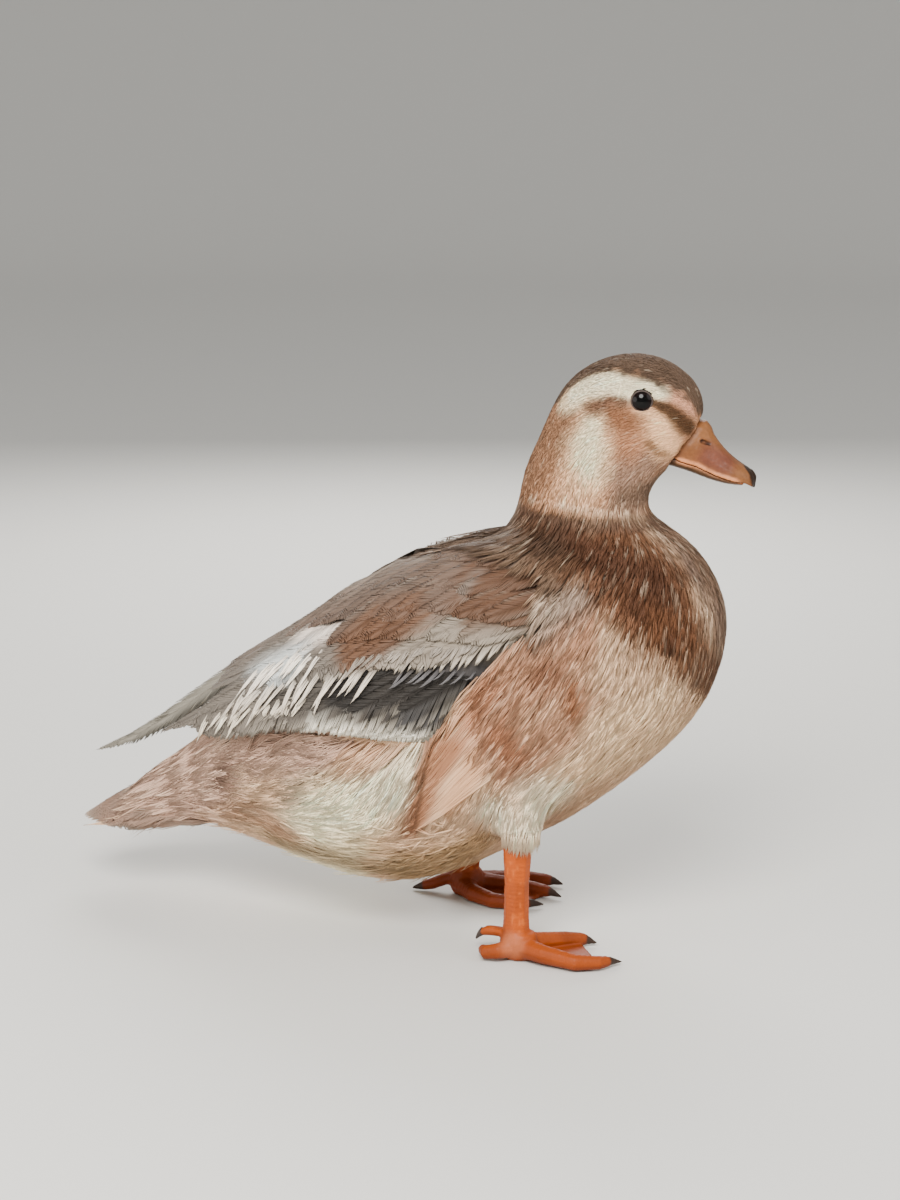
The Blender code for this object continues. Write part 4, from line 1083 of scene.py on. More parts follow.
root_form = bmesh.new()
rings = []
for section in TAIL_ROOT:
    ring = [root_form.verts.new(placed(p)) for p in section_points(section, 24)]
    rings.append([root_form.edges.new((a, b)) for a, b in zip(ring, ring[1:] + ring[:1])])
for first, second in zip(rings, rings[1:]):
    bmesh.ops.bridge_loops(root_form, edges=first + second)
bmesh.ops.holes_fill(root_form, edges=rings[0] + rings[-1])
bmesh.ops.recalc_face_normals(root_form, faces=root_form.faces)
root_mesh = mesh_of(root_form, "tail_root")
# The root takes the tail's base colour darkened, as painted shade under the feathers
root_colours = TAIL_ROOT_PAINTED_SHADE * plain(TAIL_BASE, root_mesh.vertices)
tail_root = finished_piece("tail_root", root_mesh, root_colours, down_finish)
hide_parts("tail")
tail = joined("tail_feathers", tail_feathers(), vane_finish)
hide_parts("tail")

# Flank feathers
# The rearmost flank feathers are long and rufous, and their wet tips meet in one point over the thigh.
# Loose wet strands lie over the rump and the root of the tail in the same way, rooted in the skin.
coat_finish = finish_reading_tint("coat", 0.62, 0.5, 0.05, 0.12)
FEATHERS_OVER_BED = 4.8
DROP = 12


def feathered_form(side):
    """Places over the feathers of a wing, for the coat to settle on."""
    rows = []
    for x in BED_XS:
        angles = np.linspace(float(wing_top_angle(x)), float(wing_edge_angle(x)), BED_COLUMNS)
        xs = np.full(BED_COLUMNS, x)
        _, out, inside = (read_map(values, xs, angles) for values in BEDS[side])
        above = FEATHERS_OVER_BED * (EDGE_SHARE + (1 - EDGE_SHARE) * inside)
        rows.append(on_wing(xs, angles, out + above, side)[0])
    return np.array(rows)


TAIL_COVER = [(-172, 66, -164, 33, 21), (-185, 57, -179, 33.5, 20.5), (-197, 47.5, -193.5, 33, 21),
              (-211, 38, -208, 31, 20), (-223, 31, -222, 29, 17)]
tail_form = np.array([section_points(section, 24) for section in TAIL_COVER])
tail_form = np.concatenate([tail_form, tail_form[:, :1]], axis=1)
cover = tree_of([feathered_form(side) for side in (-1, 1)] + [tail_form])


def settled(places, directions, rise):
    """Places dropped onto the skin or the wings' beds along their directions, then raised."""
    found = places.copy()
    for k, (place, direction) in enumerate(zip(places, directions)):
        up = Vector(direction)
        hit = cover.ray_cast(Vector(place) + up * DROP, -up, 2 * DROP)
        if hit[0] is not None:
            found[k] = hit[0]
    return found + directions * np.asarray(rise)[:, None]


def loose_path(root, tip, lifts, sway):
    """A shaft laid over the coat from one place to another, waving from side to side."""
    shares = np.linspace(0, 1, 9)
    line = np.array(root, float) + (np.array(tip, float) - np.array(root, float)) * shares[:, None]
    outs = np.array([bare.find_nearest(Vector(place))[1] for place in line])
    facing = np.sign(np.einsum("ij,ij->i", outs, line - np.array([-60, 0, 95.0])))
    outs = unit(outs * facing[:, None])
    outs = unit(outs + outs.mean(axis=0))
    along = unit(line[-1] - line[0])
    across = unit(np.cross(along, outs))
    line += across * (sway * np.sin(2 * math.pi * shares))[:, None]
    path = settled(line, outs, np.interp(shares, (0, 0.3, 1), lifts))
    step = unit(np.gradient(path, axis=0))
    return path, outs, unit(np.cross(step, outs))


# Each tuft or strand has its own patch, this wide, on the skin's unwrap where its root is
TUFT_PATCH = 0.003
LOBE_STRANDS = 42
REAR_STRANDS = 46
FLANK_STREAK = (226, 200, 176)
REAR_TIPS = (212, 198, 184)


def patch_at(place):
    """A strand's own patch on the skin's unwrap, at its root."""
    triangle = skin_mesh.loop_triangles[bare.find_nearest(Vector(place))[2]]
    spots = [skin_mesh.uv_layers["OFBake"].data[loop].uv for loop in triangle.loops]
    return tuple(sum(spot[k] for spot in spots) / 3 - TUFT_PATCH / 2 for k in (0, 1)), TUFT_PATCH


def flank_points():
    """The long flank feathers of both sides, whose tips draw together in one point."""
    draw = np.random.default_rng(44)
    parts = []
    for side, k in itertools.product((-1, 1), range(LOBE_STRANDS)):
        share = k / (LOBE_STRANDS - 1)
        start = float(draw.uniform(0, 0.4))
        root = (-12 + 15 * share, side * (58.5 - 3 * share), 124 - 36 * share)
        low = min(1.0, 1.25 * share)
        tip = (-35 - 10 * low, side * (58.5 - 8 * low), 88 - 34.5 * low + 1.5 * (share > 0.85))
        root = [a + (b - a) * start for a, b in zip(root, tip)]
        path, outs, sides = loose_path(root, tip, (0.0, 2.2, 3.2 - share), 0.5)
        tone = float(draw.normal(1.0, 0.04))
        centre = path[COLOUR_STATION]

        def tint(points, along, across):
            colours = plumage_colour(points + (centre - points) * 0.12) * tone
            streaks = ease(0.3, 0.9, uneven(points * np.array([1, 1, 0.25]), 0.9, 15)) * 0.4
            colours = blended(colours, FLANK_STREAK, streaks)
            return grained(colours, points, 0.08, 1.3, 14)

        width = float(draw.uniform(1.8, 3.2))
        parts += strand(path, outs, sides, width, draw, patch_at(path[0]), tint)
    return parts


def rear_strands():
    """Wet strands of the rump and the tail coverts, laid back over the root of the tail."""
    draw = np.random.default_rng(45)
    parts = []
    for side, _ in itertools.product((-1, 1), range(REAR_STRANDS)):
        x = float(draw.uniform(-184, -122))
        turn = float(draw.uniform(0.15, 2.4))
        middle, high, wide = (np.interp(x, (-184, -122), ends) for ends in ((45, 62), (13, 35), (20, 40)))
        root = (x, side * wide * math.sin(turn), middle + high * math.cos(turn))
        back = float(draw.uniform(17, 27))
        tip = (x - back, root[1] * 0.86, root[2] - back * (0.74 - 0.28 * turn))
        path, outs, sides = loose_path(root, tip, (0.0, 1.0, 1.8), 0.9)
        tone = float(draw.uniform(0.82, 1.12))

        def tint(points, along, across):
            colours = plumage_colour(points) * tone
            colours = blended(colours, REAR_TIPS, 0.35 * ease(0.3, 1.0, along))
            return grained(colours, points, 0.08, 1.3, 17)

        width = float(draw.uniform(1.6, 3.4))
        parts += strand(path, outs, sides, width, draw, patch_at(path[0]), tint)
    return parts


joined("flank_points", flank_points(), coat_finish)
joined("rear_strands", rear_strands(), coat_finish)

# Coat
# Small body feathers cover the skin in tufts of barbs that draw together in fine strands. Their lie,
# length and thickness change over the body: short on the face, long on the flank, curly on the belly.

# Each row: place (x, distance from the middle, height), the way the coat lies, length, width, depth,
# tufts on a square centimetre, curl, and how many of the tufts are pale streaks, which are partly the
# coat's own pale barbs and partly painted highlight on wet barbs
COAT = np.array([
    (66, 4, 238, -0.4, 0.1, 0.9, 1.7, 0.34, 0.4, 500, 0.1, 0.05),
    (58, 12, 231, -1, 0.1, 0.15, 1.9, 0.34, 0.45, 480, 0.1, 0.02),
    (60, 12, 224, -0.95, 0.2, -0.1, 1.7, 0.32, 0.4, 500, 0.1, 0.05),
    (52, 8, 213, -1, 0.1, -0.25, 2.2, 0.38, 0.5, 420, 0.1, 0.1),
    (50, 5, 255, -1, 0.1, 0.15, 2.8, 0.42, 0.6, 380, 0.1, 0.05),
    (30, 3, 257, -1, 0, -0.05, 3.3, 0.46, 0.7, 330, 0.1, 0.05),
    (12, 4, 248, -0.75, 0.1, -0.65, 3.8, 0.5, 0.8, 310, 0.1, 0.05),
    (20, 14, 244, -0.95, 0, -0.3, 3.3, 0.46, 0.7, 340, 0.1, 0.15),
    (41, 18, 246, -1, 0, -0.05, 2.2, 0.38, 0.5, 420, 0.1, 0.1),
    (41, 19, 232, -0.95, 0, -0.3, 2.2, 0.38, 0.5, 420, 0.1, 0.1),
    (28, 18.5, 233, -0.95, 0.05, -0.35, 3.2, 0.46, 0.7, 340, 0.1, 0.1),
    (46, 19, 225, -0.9, 0.1, -0.35, 2.6, 0.42, 0.6, 380, 0.1, 0.12),
    (35, 20, 213, -0.75, 0.1, -0.65, 3.6, 0.48, 0.8, 320, 0.1, 0.15),
    (18, 20.5, 218, -0.5, 0.1, -0.85, 4.0, 0.5, 0.9, 300, 0.1, 0.2),
    (2, 8, 228, -0.35, 0.1, -0.95, 4.4, 0.52, 0.9, 280, 0.1, 0.12),
    (-6, 10, 208, -0.35, 0.1, -0.95, 5.2, 0.58, 1.0, 240, 0.15, 0.15),
    (18, 23, 203, -0.15, 0.1, -1, 4.8, 0.56, 1.0, 250, 0.15, 0.2),
    (44, 10, 203, -0.1, 0.05, -1, 4.2, 0.52, 0.9, 270, 0.1, 0.15),
    (46, 8, 193, 0.15, 0.05, -1, 5.0, 0.56, 1.0, 230, 0.15, 0.2),
    (15, 28, 184, -0.3, 0.25, -1, 7.0, 0.72, 1.4, 140, 0.15, 0.08),
    (-14, 12, 184, -0.75, 0.1, -0.65, 8.5, 0.8, 1.4, 120, 0.15, 0.05),
    (60, 5, 180, 0.35, 0.1, -0.95, 7.0, 0.7, 1.4, 145, 0.15, 0.18),
    (80, 0, 145, -0.05, 0.1, -1, 9.0, 0.74, 1.8, 125, 0.15, 0.3),
    (45, 38, 165, -0.35, 0.2, -0.95, 8.5, 0.74, 1.8, 130, 0.15, 0.14),
    (62, 36, 135, -0.4, 0, -0.92, 9.5, 0.74, 2.0, 125, 0.15, 0.2),
    (62, 25, 105, -0.7, 0, -0.75, 11, 0.76, 2.2, 115, 0.15, 0.3),
    (40, 0, 72, -0.95, 0, -0.35, 12, 0.8, 2.2, 105, 0.3, 0.25),
    (25, 48, 150, -0.5, 0.1, -0.85, 10, 0.74, 2.0, 125, 0.15, 0.14),
    (10, 56, 118, -0.55, 0.1, -0.85, 11.5, 0.76, 2.2, 120, 0.15, 0.2),
    (20, 44, 88, -0.7, 0, -0.7, 12.5, 0.78, 2.3, 112, 0.15, 0.28),
    (-18, 58, 92, -0.5, 0, -0.87, 14, 0.84, 2.4, 105, 0.15, 0.2),
    (8, 44, 68, -0.3, 0, -1, 9.5, 0.74, 2.0, 125, 0.2, 0.3),
    (1, 37, 53, -0.2, 0, -1, 5.0, 0.6, 0.7, 280, 0.2, 0.3),
    (-25, 36, 42, -0.95, 0, -0.1, 10, 0.7, 2.4, 120, 0.9, 0.2),
    (-50, 10, 18, -1, 0, 0.05, 11, 0.74, 2.4, 110, 0.9, 0.2),
    (-66, 52, 64, -0.95, 0.05, -0.15, 14, 0.8, 2.4, 100, 0.6, 0.4),
    (-95, 34, 36, -0.98, 0, 0.12, 14, 0.8, 2.4, 95, 0.7, 0.4),
    (-50, 57, 78, -0.6, 0, -0.8, 14, 0.82, 2.2, 105, 0.25, 0.4),
    (-92, 48, 84, -0.95, 0, -0.25, 16, 0.85, 2.0, 95, 0.7, 0.4),
    (-125, 38, 74, -0.9, 0, -0.42, 18, 0.85, 1.9, 92, 1.0, 0.5),
    (-150, 26, 62, -0.85, 0, -0.5, 19, 0.85, 1.6, 92, 0.9, 0.5),
    (-140, 0, 92, -0.85, 0, -0.5, 15, 0.9, 2.0, 95, 0.3, 0.2),
    (-160, 15, 38, -1, 0, 0.1, 13, 0.85, 1.4, 105, 0.4, 0.3),
    (-174, 12, 58, -0.75, 0, -0.65, 20, 0.85, 1.2, 110, 0.6, 0.4),
    (-178, 12, 40, -0.98, 0, -0.1, 17, 0.85, 0.9, 110, 0.4, 0.4),
    (-10, 20, 180, -0.93, 0.1, -0.2, 12, 0.95, 1.8, 95, 0.1, 0.12),
    (-50, 5, 160, -0.85, 0.02, -0.5, 14, 1.0, 3.4, 110, 0.1, 0.03),
    (-90, 4, 130, -0.8, 0, -0.6, 14, 1.0, 3.2, 100, 0.1, 0.05),
], float)
PIECE_TRIANGLES = 190000
TUFTS_IN_STRAND = 7
WISPS = 420
COAT_END = -174.0
BARE_ROUND_EYE = 4.9
PALE_STREAK = (236, 226, 210)


def coat_at(points):
    """The coat's values at points, each a mean of the rows weighed by how near they are."""
    straight = straightened(points)
    found = np.zeros((len(points), COAT.shape[1] - 3))
    for first in range(0, len(points), 20000):
        block = straight[first:first + 20000]
        gap = ((block[:, None, :] - COAT[None, :, :3]) ** 2).sum(axis=2)
        weight = 1 / (gap + 6.0) ** 2
        found[first:first + 20000] = weight @ COAT[:, 3:] / weight.sum(axis=1, keepdims=True)
    return found


def under_wing(points):
    """Which points lie well under a folded wing, where no tuft would show."""
    x, angle = points[:, 0], angle_round_wing(points)
    low_margin = np.interp(x, (-40, -20), (0.0, 0.09))
    middle = (x < WING_ENDS[1] - 22) & (x > WING_ENDS[0] + 4)
    return middle & (angle < wing_edge_angle(x) - low_margin) & (angle > wing_top_angle(x) + 0.1)


def over_wing(points):
    """Which points lie over the front half of a folded wing."""
    x, angle = points[:, 0], angle_round_wing(points)
    return (x > -44) & (x < WING_ENDS[1]) & (angle < wing_edge_angle(x) - 0.02)


def skin_samples(draw):
    """Roots of the tufts: places on the skin, its normals there and places on its unwrap."""
    count = len(skin_mesh.loop_triangles)
    triangle_corners = np.zeros(count * 3, np.int64)
    skin_mesh.loop_triangles.foreach_get("vertices", triangle_corners)
    loops = np.zeros(count * 3, np.int64)
    skin_mesh.loop_triangles.foreach_get("loops", loops)
    uv = np.zeros(len(skin_mesh.loops) * 2)
    skin_mesh.uv_layers["OFBake"].data.foreach_get("uv", uv)
    points, normals = corners(skin_mesh)
    a, b, c = (points[triangle_corners.reshape(-1, 3)[:, k]] for k in range(3))
    na, nb, nc = (normals[triangle_corners.reshape(-1, 3)[:, k]] for k in range(3))
    ua, ub, uc = (uv.reshape(-1, 2)[loops.reshape(-1, 3)[:, k]] for k in range(3))
    area = 0.5 * np.linalg.norm(np.cross(b - a, c - a), axis=1)
    middle = (a + b + c) / 3
    wanted = area / 100 * coat_at(middle)[:, 6] * ~under_wing(middle)
    wanted[np.linalg.norm(straightened(middle) - EYE_PLACE, axis=1) < BARE_ROUND_EYE] = 0
    facing_back = unit(na + nb + nc)[:, 0] < np.interp(middle[:, 0], (-174, -150), (-0.5, -1.1))
    wanted[(middle[:, 0] < COAT_END) | facing_back] = 0
    number = np.floor(wanted + draw.random(count)).astype(int)
    chosen = np.repeat(np.arange(count), number)
    r = draw.random((len(chosen), 2))
    flip = r.sum(axis=1) > 1
    r[flip] = 1 - r[flip]
    r = np.concatenate([1 - r.sum(axis=1, keepdims=True), r], axis=1)[..., None]
    at = r[:, 0] * a[chosen] + r[:, 1] * b[chosen] + r[:, 2] * c[chosen]
    normal = unit(r[:, 0] * na[chosen] + r[:, 1] * nb[chosen] + r[:, 2] * nc[chosen])
    return at, normal, r[:, 0] * ua[chosen] + r[:, 1] * ub[chosen] + r[:, 2] * uc[chosen]


def strand_leaders(draw, roots, lie):
    """For each tuft, the tuft it draws together with: a near one that lies ahead or behind it."""
    chosen = draw.permutation(len(roots))[: len(roots) // TUFTS_IN_STRAND]
    tree = KDTree(len(chosen))
    for k in chosen:
        tree.insert(Vector(roots[k]), int(k))
    tree.balance()
    near = np.array([[found[1] for found in tree.find_n(Vector(root), 6)] for root in roots])
    gap = roots[near] - roots[:, None]
    along = np.einsum("nkj,nj->nk", gap, lie)
    cost = (gap**2).sum(axis=2) - 0.9 * along**2
    return near[np.arange(len(roots)), cost.argmin(axis=1)]


def coat_pieces():
    draw = np.random.default_rng(7)
    roots, normals, unwrap = skin_samples(draw)
    values = coat_at(roots)
    lie, (length, width, depth, _, curl, streaks) = values[:, :3], values[:, 3:].T
    # The way each tuft lies, turned with the head and kept along the skin, with waves and curls in it
    side = np.sign(roots[:, 1])
    lie[:, 1] *= np.where(side == 0, 1, side)
    lie = spun(lie, HEAD_TURN * turn_share(roots), 0)
    lie = unit(lie - normals * np.einsum("ij,ij->i", lie, normals)[:, None])
    count = len(roots)
    leader = strand_leaders(draw, roots, lie)
    angle = draw.normal(0, 0.05, count) + 0.16 * uneven(roots, 12, 5)
    angle += curl * (0.6 * uneven(roots, 11, 6) + 0.28 * uneven(roots[leader], 3, 7))
    lie = lie * np.cos(angle)[:, None] + np.cross(normals, lie) * np.sin(angle)[:, None]
    # Its tip is drawn towards its leader's, so that tufts gather in strands
    below_head = 1 - ease(186, 200, roots[:, 2])
    length = (1.25 + 0.3 * below_head) * length * draw.uniform(0.8, 1.15, count)
    crossing = over_wing(roots + lie * length[:, None]) & ~over_wing(roots)
    length *= np.where(crossing, 0.45, 1)
    tips = roots + lie * length[:, None]
    lead_tips = tips[leader] + lie * np.einsum("ij,ij->i", tips - tips[leader], lie)[:, None]
    gather = np.clip(draw.normal(0.6, 0.1, count) + 0.12 * below_head, 0.2, 0.92)
    tips += (lead_tips - tips) * gather[:, None]
    bend_way = np.where(leader % 2 == 0, 1, -1) * np.where(draw.random(count) < 0.15, -1, 1)
    bend = unit(np.cross(normals, lie)) * (curl * length * 0.14 * bend_way)[:, None]
    middle = roots + (tips - roots) * 0.52 + bend
    # It rises from its root to the depth of the coat, over the skin or over the wing
    rise = draw.uniform(0.75, 1.0, len(roots))[leader] * draw.uniform(0.9, 1.05, count)
    root_place = settled(roots, normals, np.full(count, -0.25))
    middle_place = settled(middle, normals, depth * 0.8 * rise)
    tip_place = settled(tips, normals, depth * (0.5 + 0.5 * rise) * draw.uniform(0.8, 1.1, count))
    stations = np.stack([root_place, middle_place], axis=1)
    up = np.repeat(normals[:, None], 2, axis=1)
    streak = draw.random(count)[leader] < streaks
    width = width * draw.uniform(0.75, 1.15, count) * np.where(streak, 0.8, 0.9)
    widths = np.stack([width * 0.4, width * 0.5], axis=1)
    points, triangles = wedges(stations, up, widths, widths * 0.32, tip_place)
    # It takes the markings' colour where it shows, and whole strands are darker, paler or streaked.
    # The pale streaks are partly the coat's own pale barbs and partly painted highlight on wet barbs.
    # Each tuft is painted darker at its root, as painted shade deep in the coat, and a little lighter
    # at its tip, as painted light.
    seen = plumage_colour(middle_place * 0.5 + tip_place * 0.5)
    tone = draw.normal(1.0, 0.05, count) * draw.normal(1.0, 0.08, count)[leader]
    seen = seen * tone[:, None]
    # Pale streaks: a brighter copy of the colour with some cream, partly pale barbs and partly painted
    # highlight on wet barbs
    pale = 0.24 * light(*PALE_STREAK) + 1.15 * seen
    paleness = streak * draw.uniform(0.2, 0.8, count)[leader] * draw.uniform(0.7, 1.0, count)
    seen += (pale - seen) * paleness[:, None]
    # Painted shade at the root of each tuft and painted light at its tip
    shade = np.array([0.8] * 3 + [1.0] * 3 + [1.06])
    colours = (seen[:, None, :] * shade[None, :, None]).reshape(-1, 3)
    sideways = np.array([-0.5, 0, 0.5, -0.5, 0, 0.5, 0]) * TUFT_PATCH
    lengthways = np.array([-0.5, -0.5, -0.5, 0, 0, 0, 0.5]) * TUFT_PATCH
    uv = (unwrap[:, None] + np.stack([sideways, lengthways], axis=1)[None]).reshape(-1, 2)
    # The coat is parted by place: head and neck, breast, flank and mantle, rump and vent
    straight = straightened(roots)
    zone = np.select([straight[:, 2] > 190, straight[:, 0] > 22, straight[:, 0] > -48], [0, 1, 2], 3)
    names = ("head_and_neck_coat", "breast_coat", "flank_and_mantle_coat", "rump_and_vent_coat")
    points, colours, uv = (values.reshape(count, -1, values.shape[1]) for values in (points, colours, uv))
    each, pattern = points.shape[1], triangles.reshape(count, -1, 3)[0]
    for number, name in enumerate(names):
        members = np.flatnonzero(zone == number)
        pieces = math.ceil(len(members) * len(pattern) / PIECE_TRIANGLES)
        for part, block in enumerate(np.array_split(members, pieces)):
            faces = pattern[None] + (np.arange(len(block)) * each)[:, None, None]
            tufts = (points[block].reshape(-1, 3), faces.reshape(-1, 3), colours[block].reshape(-1, 3),
                     uv[block].reshape(-1, 2))
            joined(name if pieces == 1 else f"{name}_{part + 1}", [tufts], coat_finish)


def wisps():
    """Loose barbs that curl away from the belly and the vent, as they do on a damp bird."""
    draw = np.random.default_rng(46)
    roots, normals, unwrap = skin_samples(draw)
    low = np.flatnonzero((normals[:, 2] < -0.4) & (roots[:, 0] < -22) & (roots[:, 0] > -165))
    parts = []
    for k in draw.choice(low, WISPS, replace=False):
        tip = roots[k] + np.array([-draw.uniform(9, 18), draw.normal(0, 3), draw.uniform(-1, 3)])
        lifts = (0.0, 1.5, float(draw.uniform(1.5, 4.5)))
        path, outs, sides = loose_path(roots[k], tip, lifts, float(draw.normal(0, 1.4)))
        tone = float(draw.uniform(0.85, 1.2))

        def tint(points, along, across):
            return plumage_colour(points) * tone

        patch = tuple(unwrap[k] - TUFT_PATCH / 2), TUFT_PATCH
        parts += strand(path, outs, sides, float(draw.uniform(0.45, 0.9)), draw, patch, tint, 3)
    return parts


coat_pieces()
joined("wisps", wisps(), coat_finish)

# Bill
# Horn over bone in two halves, orange with a rosy brown middle, a pale cutting edge and a dark nail
# at the tip. The cutting edge's pale line is partly its own colour and partly painted highlight. The
# nostrils are short slits near its base, painted dark as painted shade inside them.
bill_finish = finish_reading_tint("bill_horn", 0.42, 0.8, 0.10, 0.22, 0.3)
BILL_MARKS = [
    ([(70, 0, 222, 8), (62, 0, 220, 8)], (154, 104, 62), 0.8, 0.6),
    ([(70, 6, 215, 5), (76, 6, 211.5, 5)], (122, 68, 52), 0.85, 0.7),
    ([(84, 4, 206, 5)], (148, 102, 64), 0.7, 0.7),
    ([(79, 0, 212.5, 2.2), (84, 0, 209.5, 2.6)], (118, 80, 50), 0.6, 0.8),
    # The pale cutting edge: partly its own pale horn and partly painted highlight along the ridge
    ([(57, 8.5, 212.6, 1.5), (64.7, 8.5, 210.6, 1.5), (72.3, 9, 206.8, 1.4), (79.6, 9, 204.8, 1.3),
      (86, 5, 203.6, 1.2)], (206, 156, 120), 0.85, 0.5),
    ([(87.6, 2, 209, 3.0), (89, 2.5, 205, 4.0), (88.6, 2, 200.6, 3.6)], (46, 27, 14), 0.97, 0.25),
    # Dark nostril slits: painted shade inside the openings
    ([(66.8, 6.8, 221, 0.9), (70, 6.4, 219.9, 0.9)], (58, 32, 22), 0.95, 0.4),
]
CUTTING_EDGE = [(57, 8.5, 212.9, 1.3), (64.7, 8.5, 210.9, 1.3), (72.3, 9, 207.2, 1.3),
                (79.6, 9, 205.1, 1.2), (86, 5, 203.8, 1.1)]
NAIL = [(89.6, 0, 206.2, 3.0), (89, 0, 201, 3.0)]
NOSTRIL = [(66.9, 6.6, 220.9, 0.55), (69.9, 6.2, 219.9, 0.6)]
NOSTRIL_RIM = [(66.9, 6.8, 220.9, 1.5), (69.9, 6.4, 219.9, 1.6)]
BILL_VOXEL = 0.00042
BILL_SMOOTHING = 3
UPPER_COLOUR = (138, 86, 50)
LOWER_COLOUR = (106, 76, 54)


def bill_piece(name, node, base):
    mesh = remeshed(name, (node,), BILL_VOXEL, BILL_SMOOTHING)
    points, normals = corners(mesh)
    straight = straightened(points)
    wrinkle = 0.05 * uneven(points, 1.6, 21) + 0.04 * uneven(points, 0.7, 22)
    ridge = np.zeros(len(points))
    if node == "bill_upper":
        ridge += 0.22 * (1 - ease(0.75, 1.05, stroke_distance(straight, NAIL)))
        ridge -= 0.55 * (1 - ease(0.6, 1.6, stroke_distance(straight, NOSTRIL)))
        rim = stroke_distance(straight, NOSTRIL_RIM)
        ridge += 0.16 * ease(0.5, 0.9, rim) * (1 - ease(0.9, 1.5, rim))
        ridge += 0.18 * (1 - ease(0.3, 1.1, stroke_distance(straight, CUTTING_EDGE)))
    move_corners(mesh, points + normals * (wrinkle + ridge)[:, None])
    colours = marked(straight, base, BILL_MARKS, 0.15, 2.0)
    mottle = 0.1 * uneven(points, 2.6, 23) + 0.1 * uneven(points, 0.9, 24)
    item = finished_piece(name, mesh, colours * (1 + mottle)[:, None], bill_finish)
    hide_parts(node)


bill_piece("upper_bill", "bill_upper", UPPER_COLOUR)
bill_piece("lower_bill", "bill_lower", LOWER_COLOUR)

# Eyes and lids
# The eyes are wet, nearly black balls with a deep brown iris, set as deep as the lids let them. Each
# lid is a thin, finely creased ring of dark skin.
EYE_CENTRE = (41.4, 14.2, 239.4)
EYE_RADIUS = 6.2
LID_RING = 4.3
LID_OUT = 4.35
LID_THICK = 0.45
PUPIL_COLOUR = (4, 3, 3)
IRIS_COLOUR = (24, 14, 10)
LID_COLOUR = (74, 58, 50)

eye_finish = bpy.data.materials.new("wet_eye")
eye_finish.use_nodes = True
eye_nodes, eye_links = eye_finish.node_tree.nodes, eye_finish.node_tree.links
eye_shader = eye_nodes["Principled BSDF"]
eye_shader.inputs["Roughness"].default_value = 0.06
eye_shader.inputs["Specular IOR Level"].default_value = 0.14
eye_tint = eye_nodes.new("ShaderNodeAttribute")
eye_tint.attribute_name = "tint"
eye_links.new(eye_tint.outputs["Color"], eye_shader.inputs["Base Color"])
lid_finish = finish_reading_tint("lid_skin", 0.5, 0.3, 0.2, 0.4, 0.5)
for side, word in ((-1, "right"), (1, "left")):
    centre = spun(np.array([EYE_CENTRE]) * (1, side, 1), HEAD_TURN)[0]
    out = spun(np.array([[0, float(side), 0]]), HEAD_TURN, 0)[0]
    ball = bmesh.new()
    bmesh.ops.create_uvsphere(ball, u_segments=48, v_segments=32, radius=EYE_RADIUS * MM)
    facing = Vector((0, 0, 1)).rotation_difference(Vector(out)).to_matrix()
    bmesh.ops.rotate(ball, matrix=facing, verts=ball.verts)
    bmesh.ops.translate(ball, vec=placed(centre), verts=ball.verts)
    ball_mesh = mesh_of(ball, word + "_eye")
    off_axis = np.linalg.norm(np.cross(corners(ball_mesh)[0] - centre, out), axis=1)
    iris = ease(2.6, 3.1, off_axis) * (1 - 0.75 * ease(3.6, 4.4, off_axis))
    eye_colours = blended(plain(PUPIL_COLOUR, off_axis), IRIS_COLOUR, iris)
    eye = finished_piece(word + "_eye", ball_mesh, eye_colours, eye_finish)
    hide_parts("eye_" + word)
    lid = bmesh.new()
    ring_of_lid = bmesh.ops.create_circle(lid, cap_ends=False, segments=10, radius=LID_THICK * MM)["verts"]
    bmesh.ops.rotate(lid, matrix=Matrix.Rotation(math.pi / 2, 3, "X"), verts=ring_of_lid)
    bmesh.ops.translate(lid, vec=(LID_RING * MM, 0, 0), verts=ring_of_lid)
    bmesh.ops.spin(lid, geom=lid.verts[:] + lid.edges[:], cent=(0, 0, 0), axis=(0, 0, 1),
                   angle=2 * math.pi, steps=72, use_merge=True)
    bmesh.ops.remove_doubles(lid, verts=lid.verts, dist=0.000001)
    for vertex in lid.verts:
        turn = math.atan2(vertex.co.y, vertex.co.x)
        crease = 1 + 0.012 * math.sin(23 * turn) + 0.01 * math.sin(41 * turn + 1)
        vertex.co.x *= crease
        vertex.co.y *= crease * 0.97
    bmesh.ops.rotate(lid, matrix=facing, verts=lid.verts)
    bmesh.ops.translate(lid, vec=placed(centre + out * LID_OUT), verts=lid.verts)
    bmesh.ops.recalc_face_normals(lid, faces=lid.faces)
    lid_mesh = mesh_of(lid, word + "_lid")
    lid_colours = plain(LID_COLOUR, lid_mesh.vertices)
    finished_piece(word + "_lid", lid_mesh, lid_colours, lid_finish)

# Legs and feet
# Bright orange scaly skin over bone, with broad scales down the front of the shank and on top of the
# toes, creased webs between the toes, and small brown claws.
leg_finish = finish_reading_tint("scaly_skin", 0.5, 0.5, 0.10, 0.18, 0.3)
ANKLES = {"right": (0.0, -41.0), "left": (-47.0, 33.0)}
LEG_VOXEL = 0.0006
LEG_SMOOTHING = 4
SCALE_PITCH = 1.7
SCALE_RELIEF = 0.16
CRACK_RELIEF = 0.10
CLAW_REACH = 2.9
CLAW_SINK = 0.25
CLAW_COLOUR = (66, 50, 42)
DULL_ORANGE = (160, 74, 28)
WEB_COLOUR = (170, 80, 36)
SOLE_COLOUR = (120, 60, 34)
KNUCKLE_COLOUR = (196, 130, 96)
FLECK_COLOUR = (214, 140, 84)
HORN_COLOUR = (70, 52, 42)
CLAW_SEGMENTS = 12
CLAW_CUTS = 7
# The far (left) leg is painted a darker orange than the near one, as painted shade
LEG_COLOURS = {"right": (198, 100, 34), "left": (170, 74, 26)}
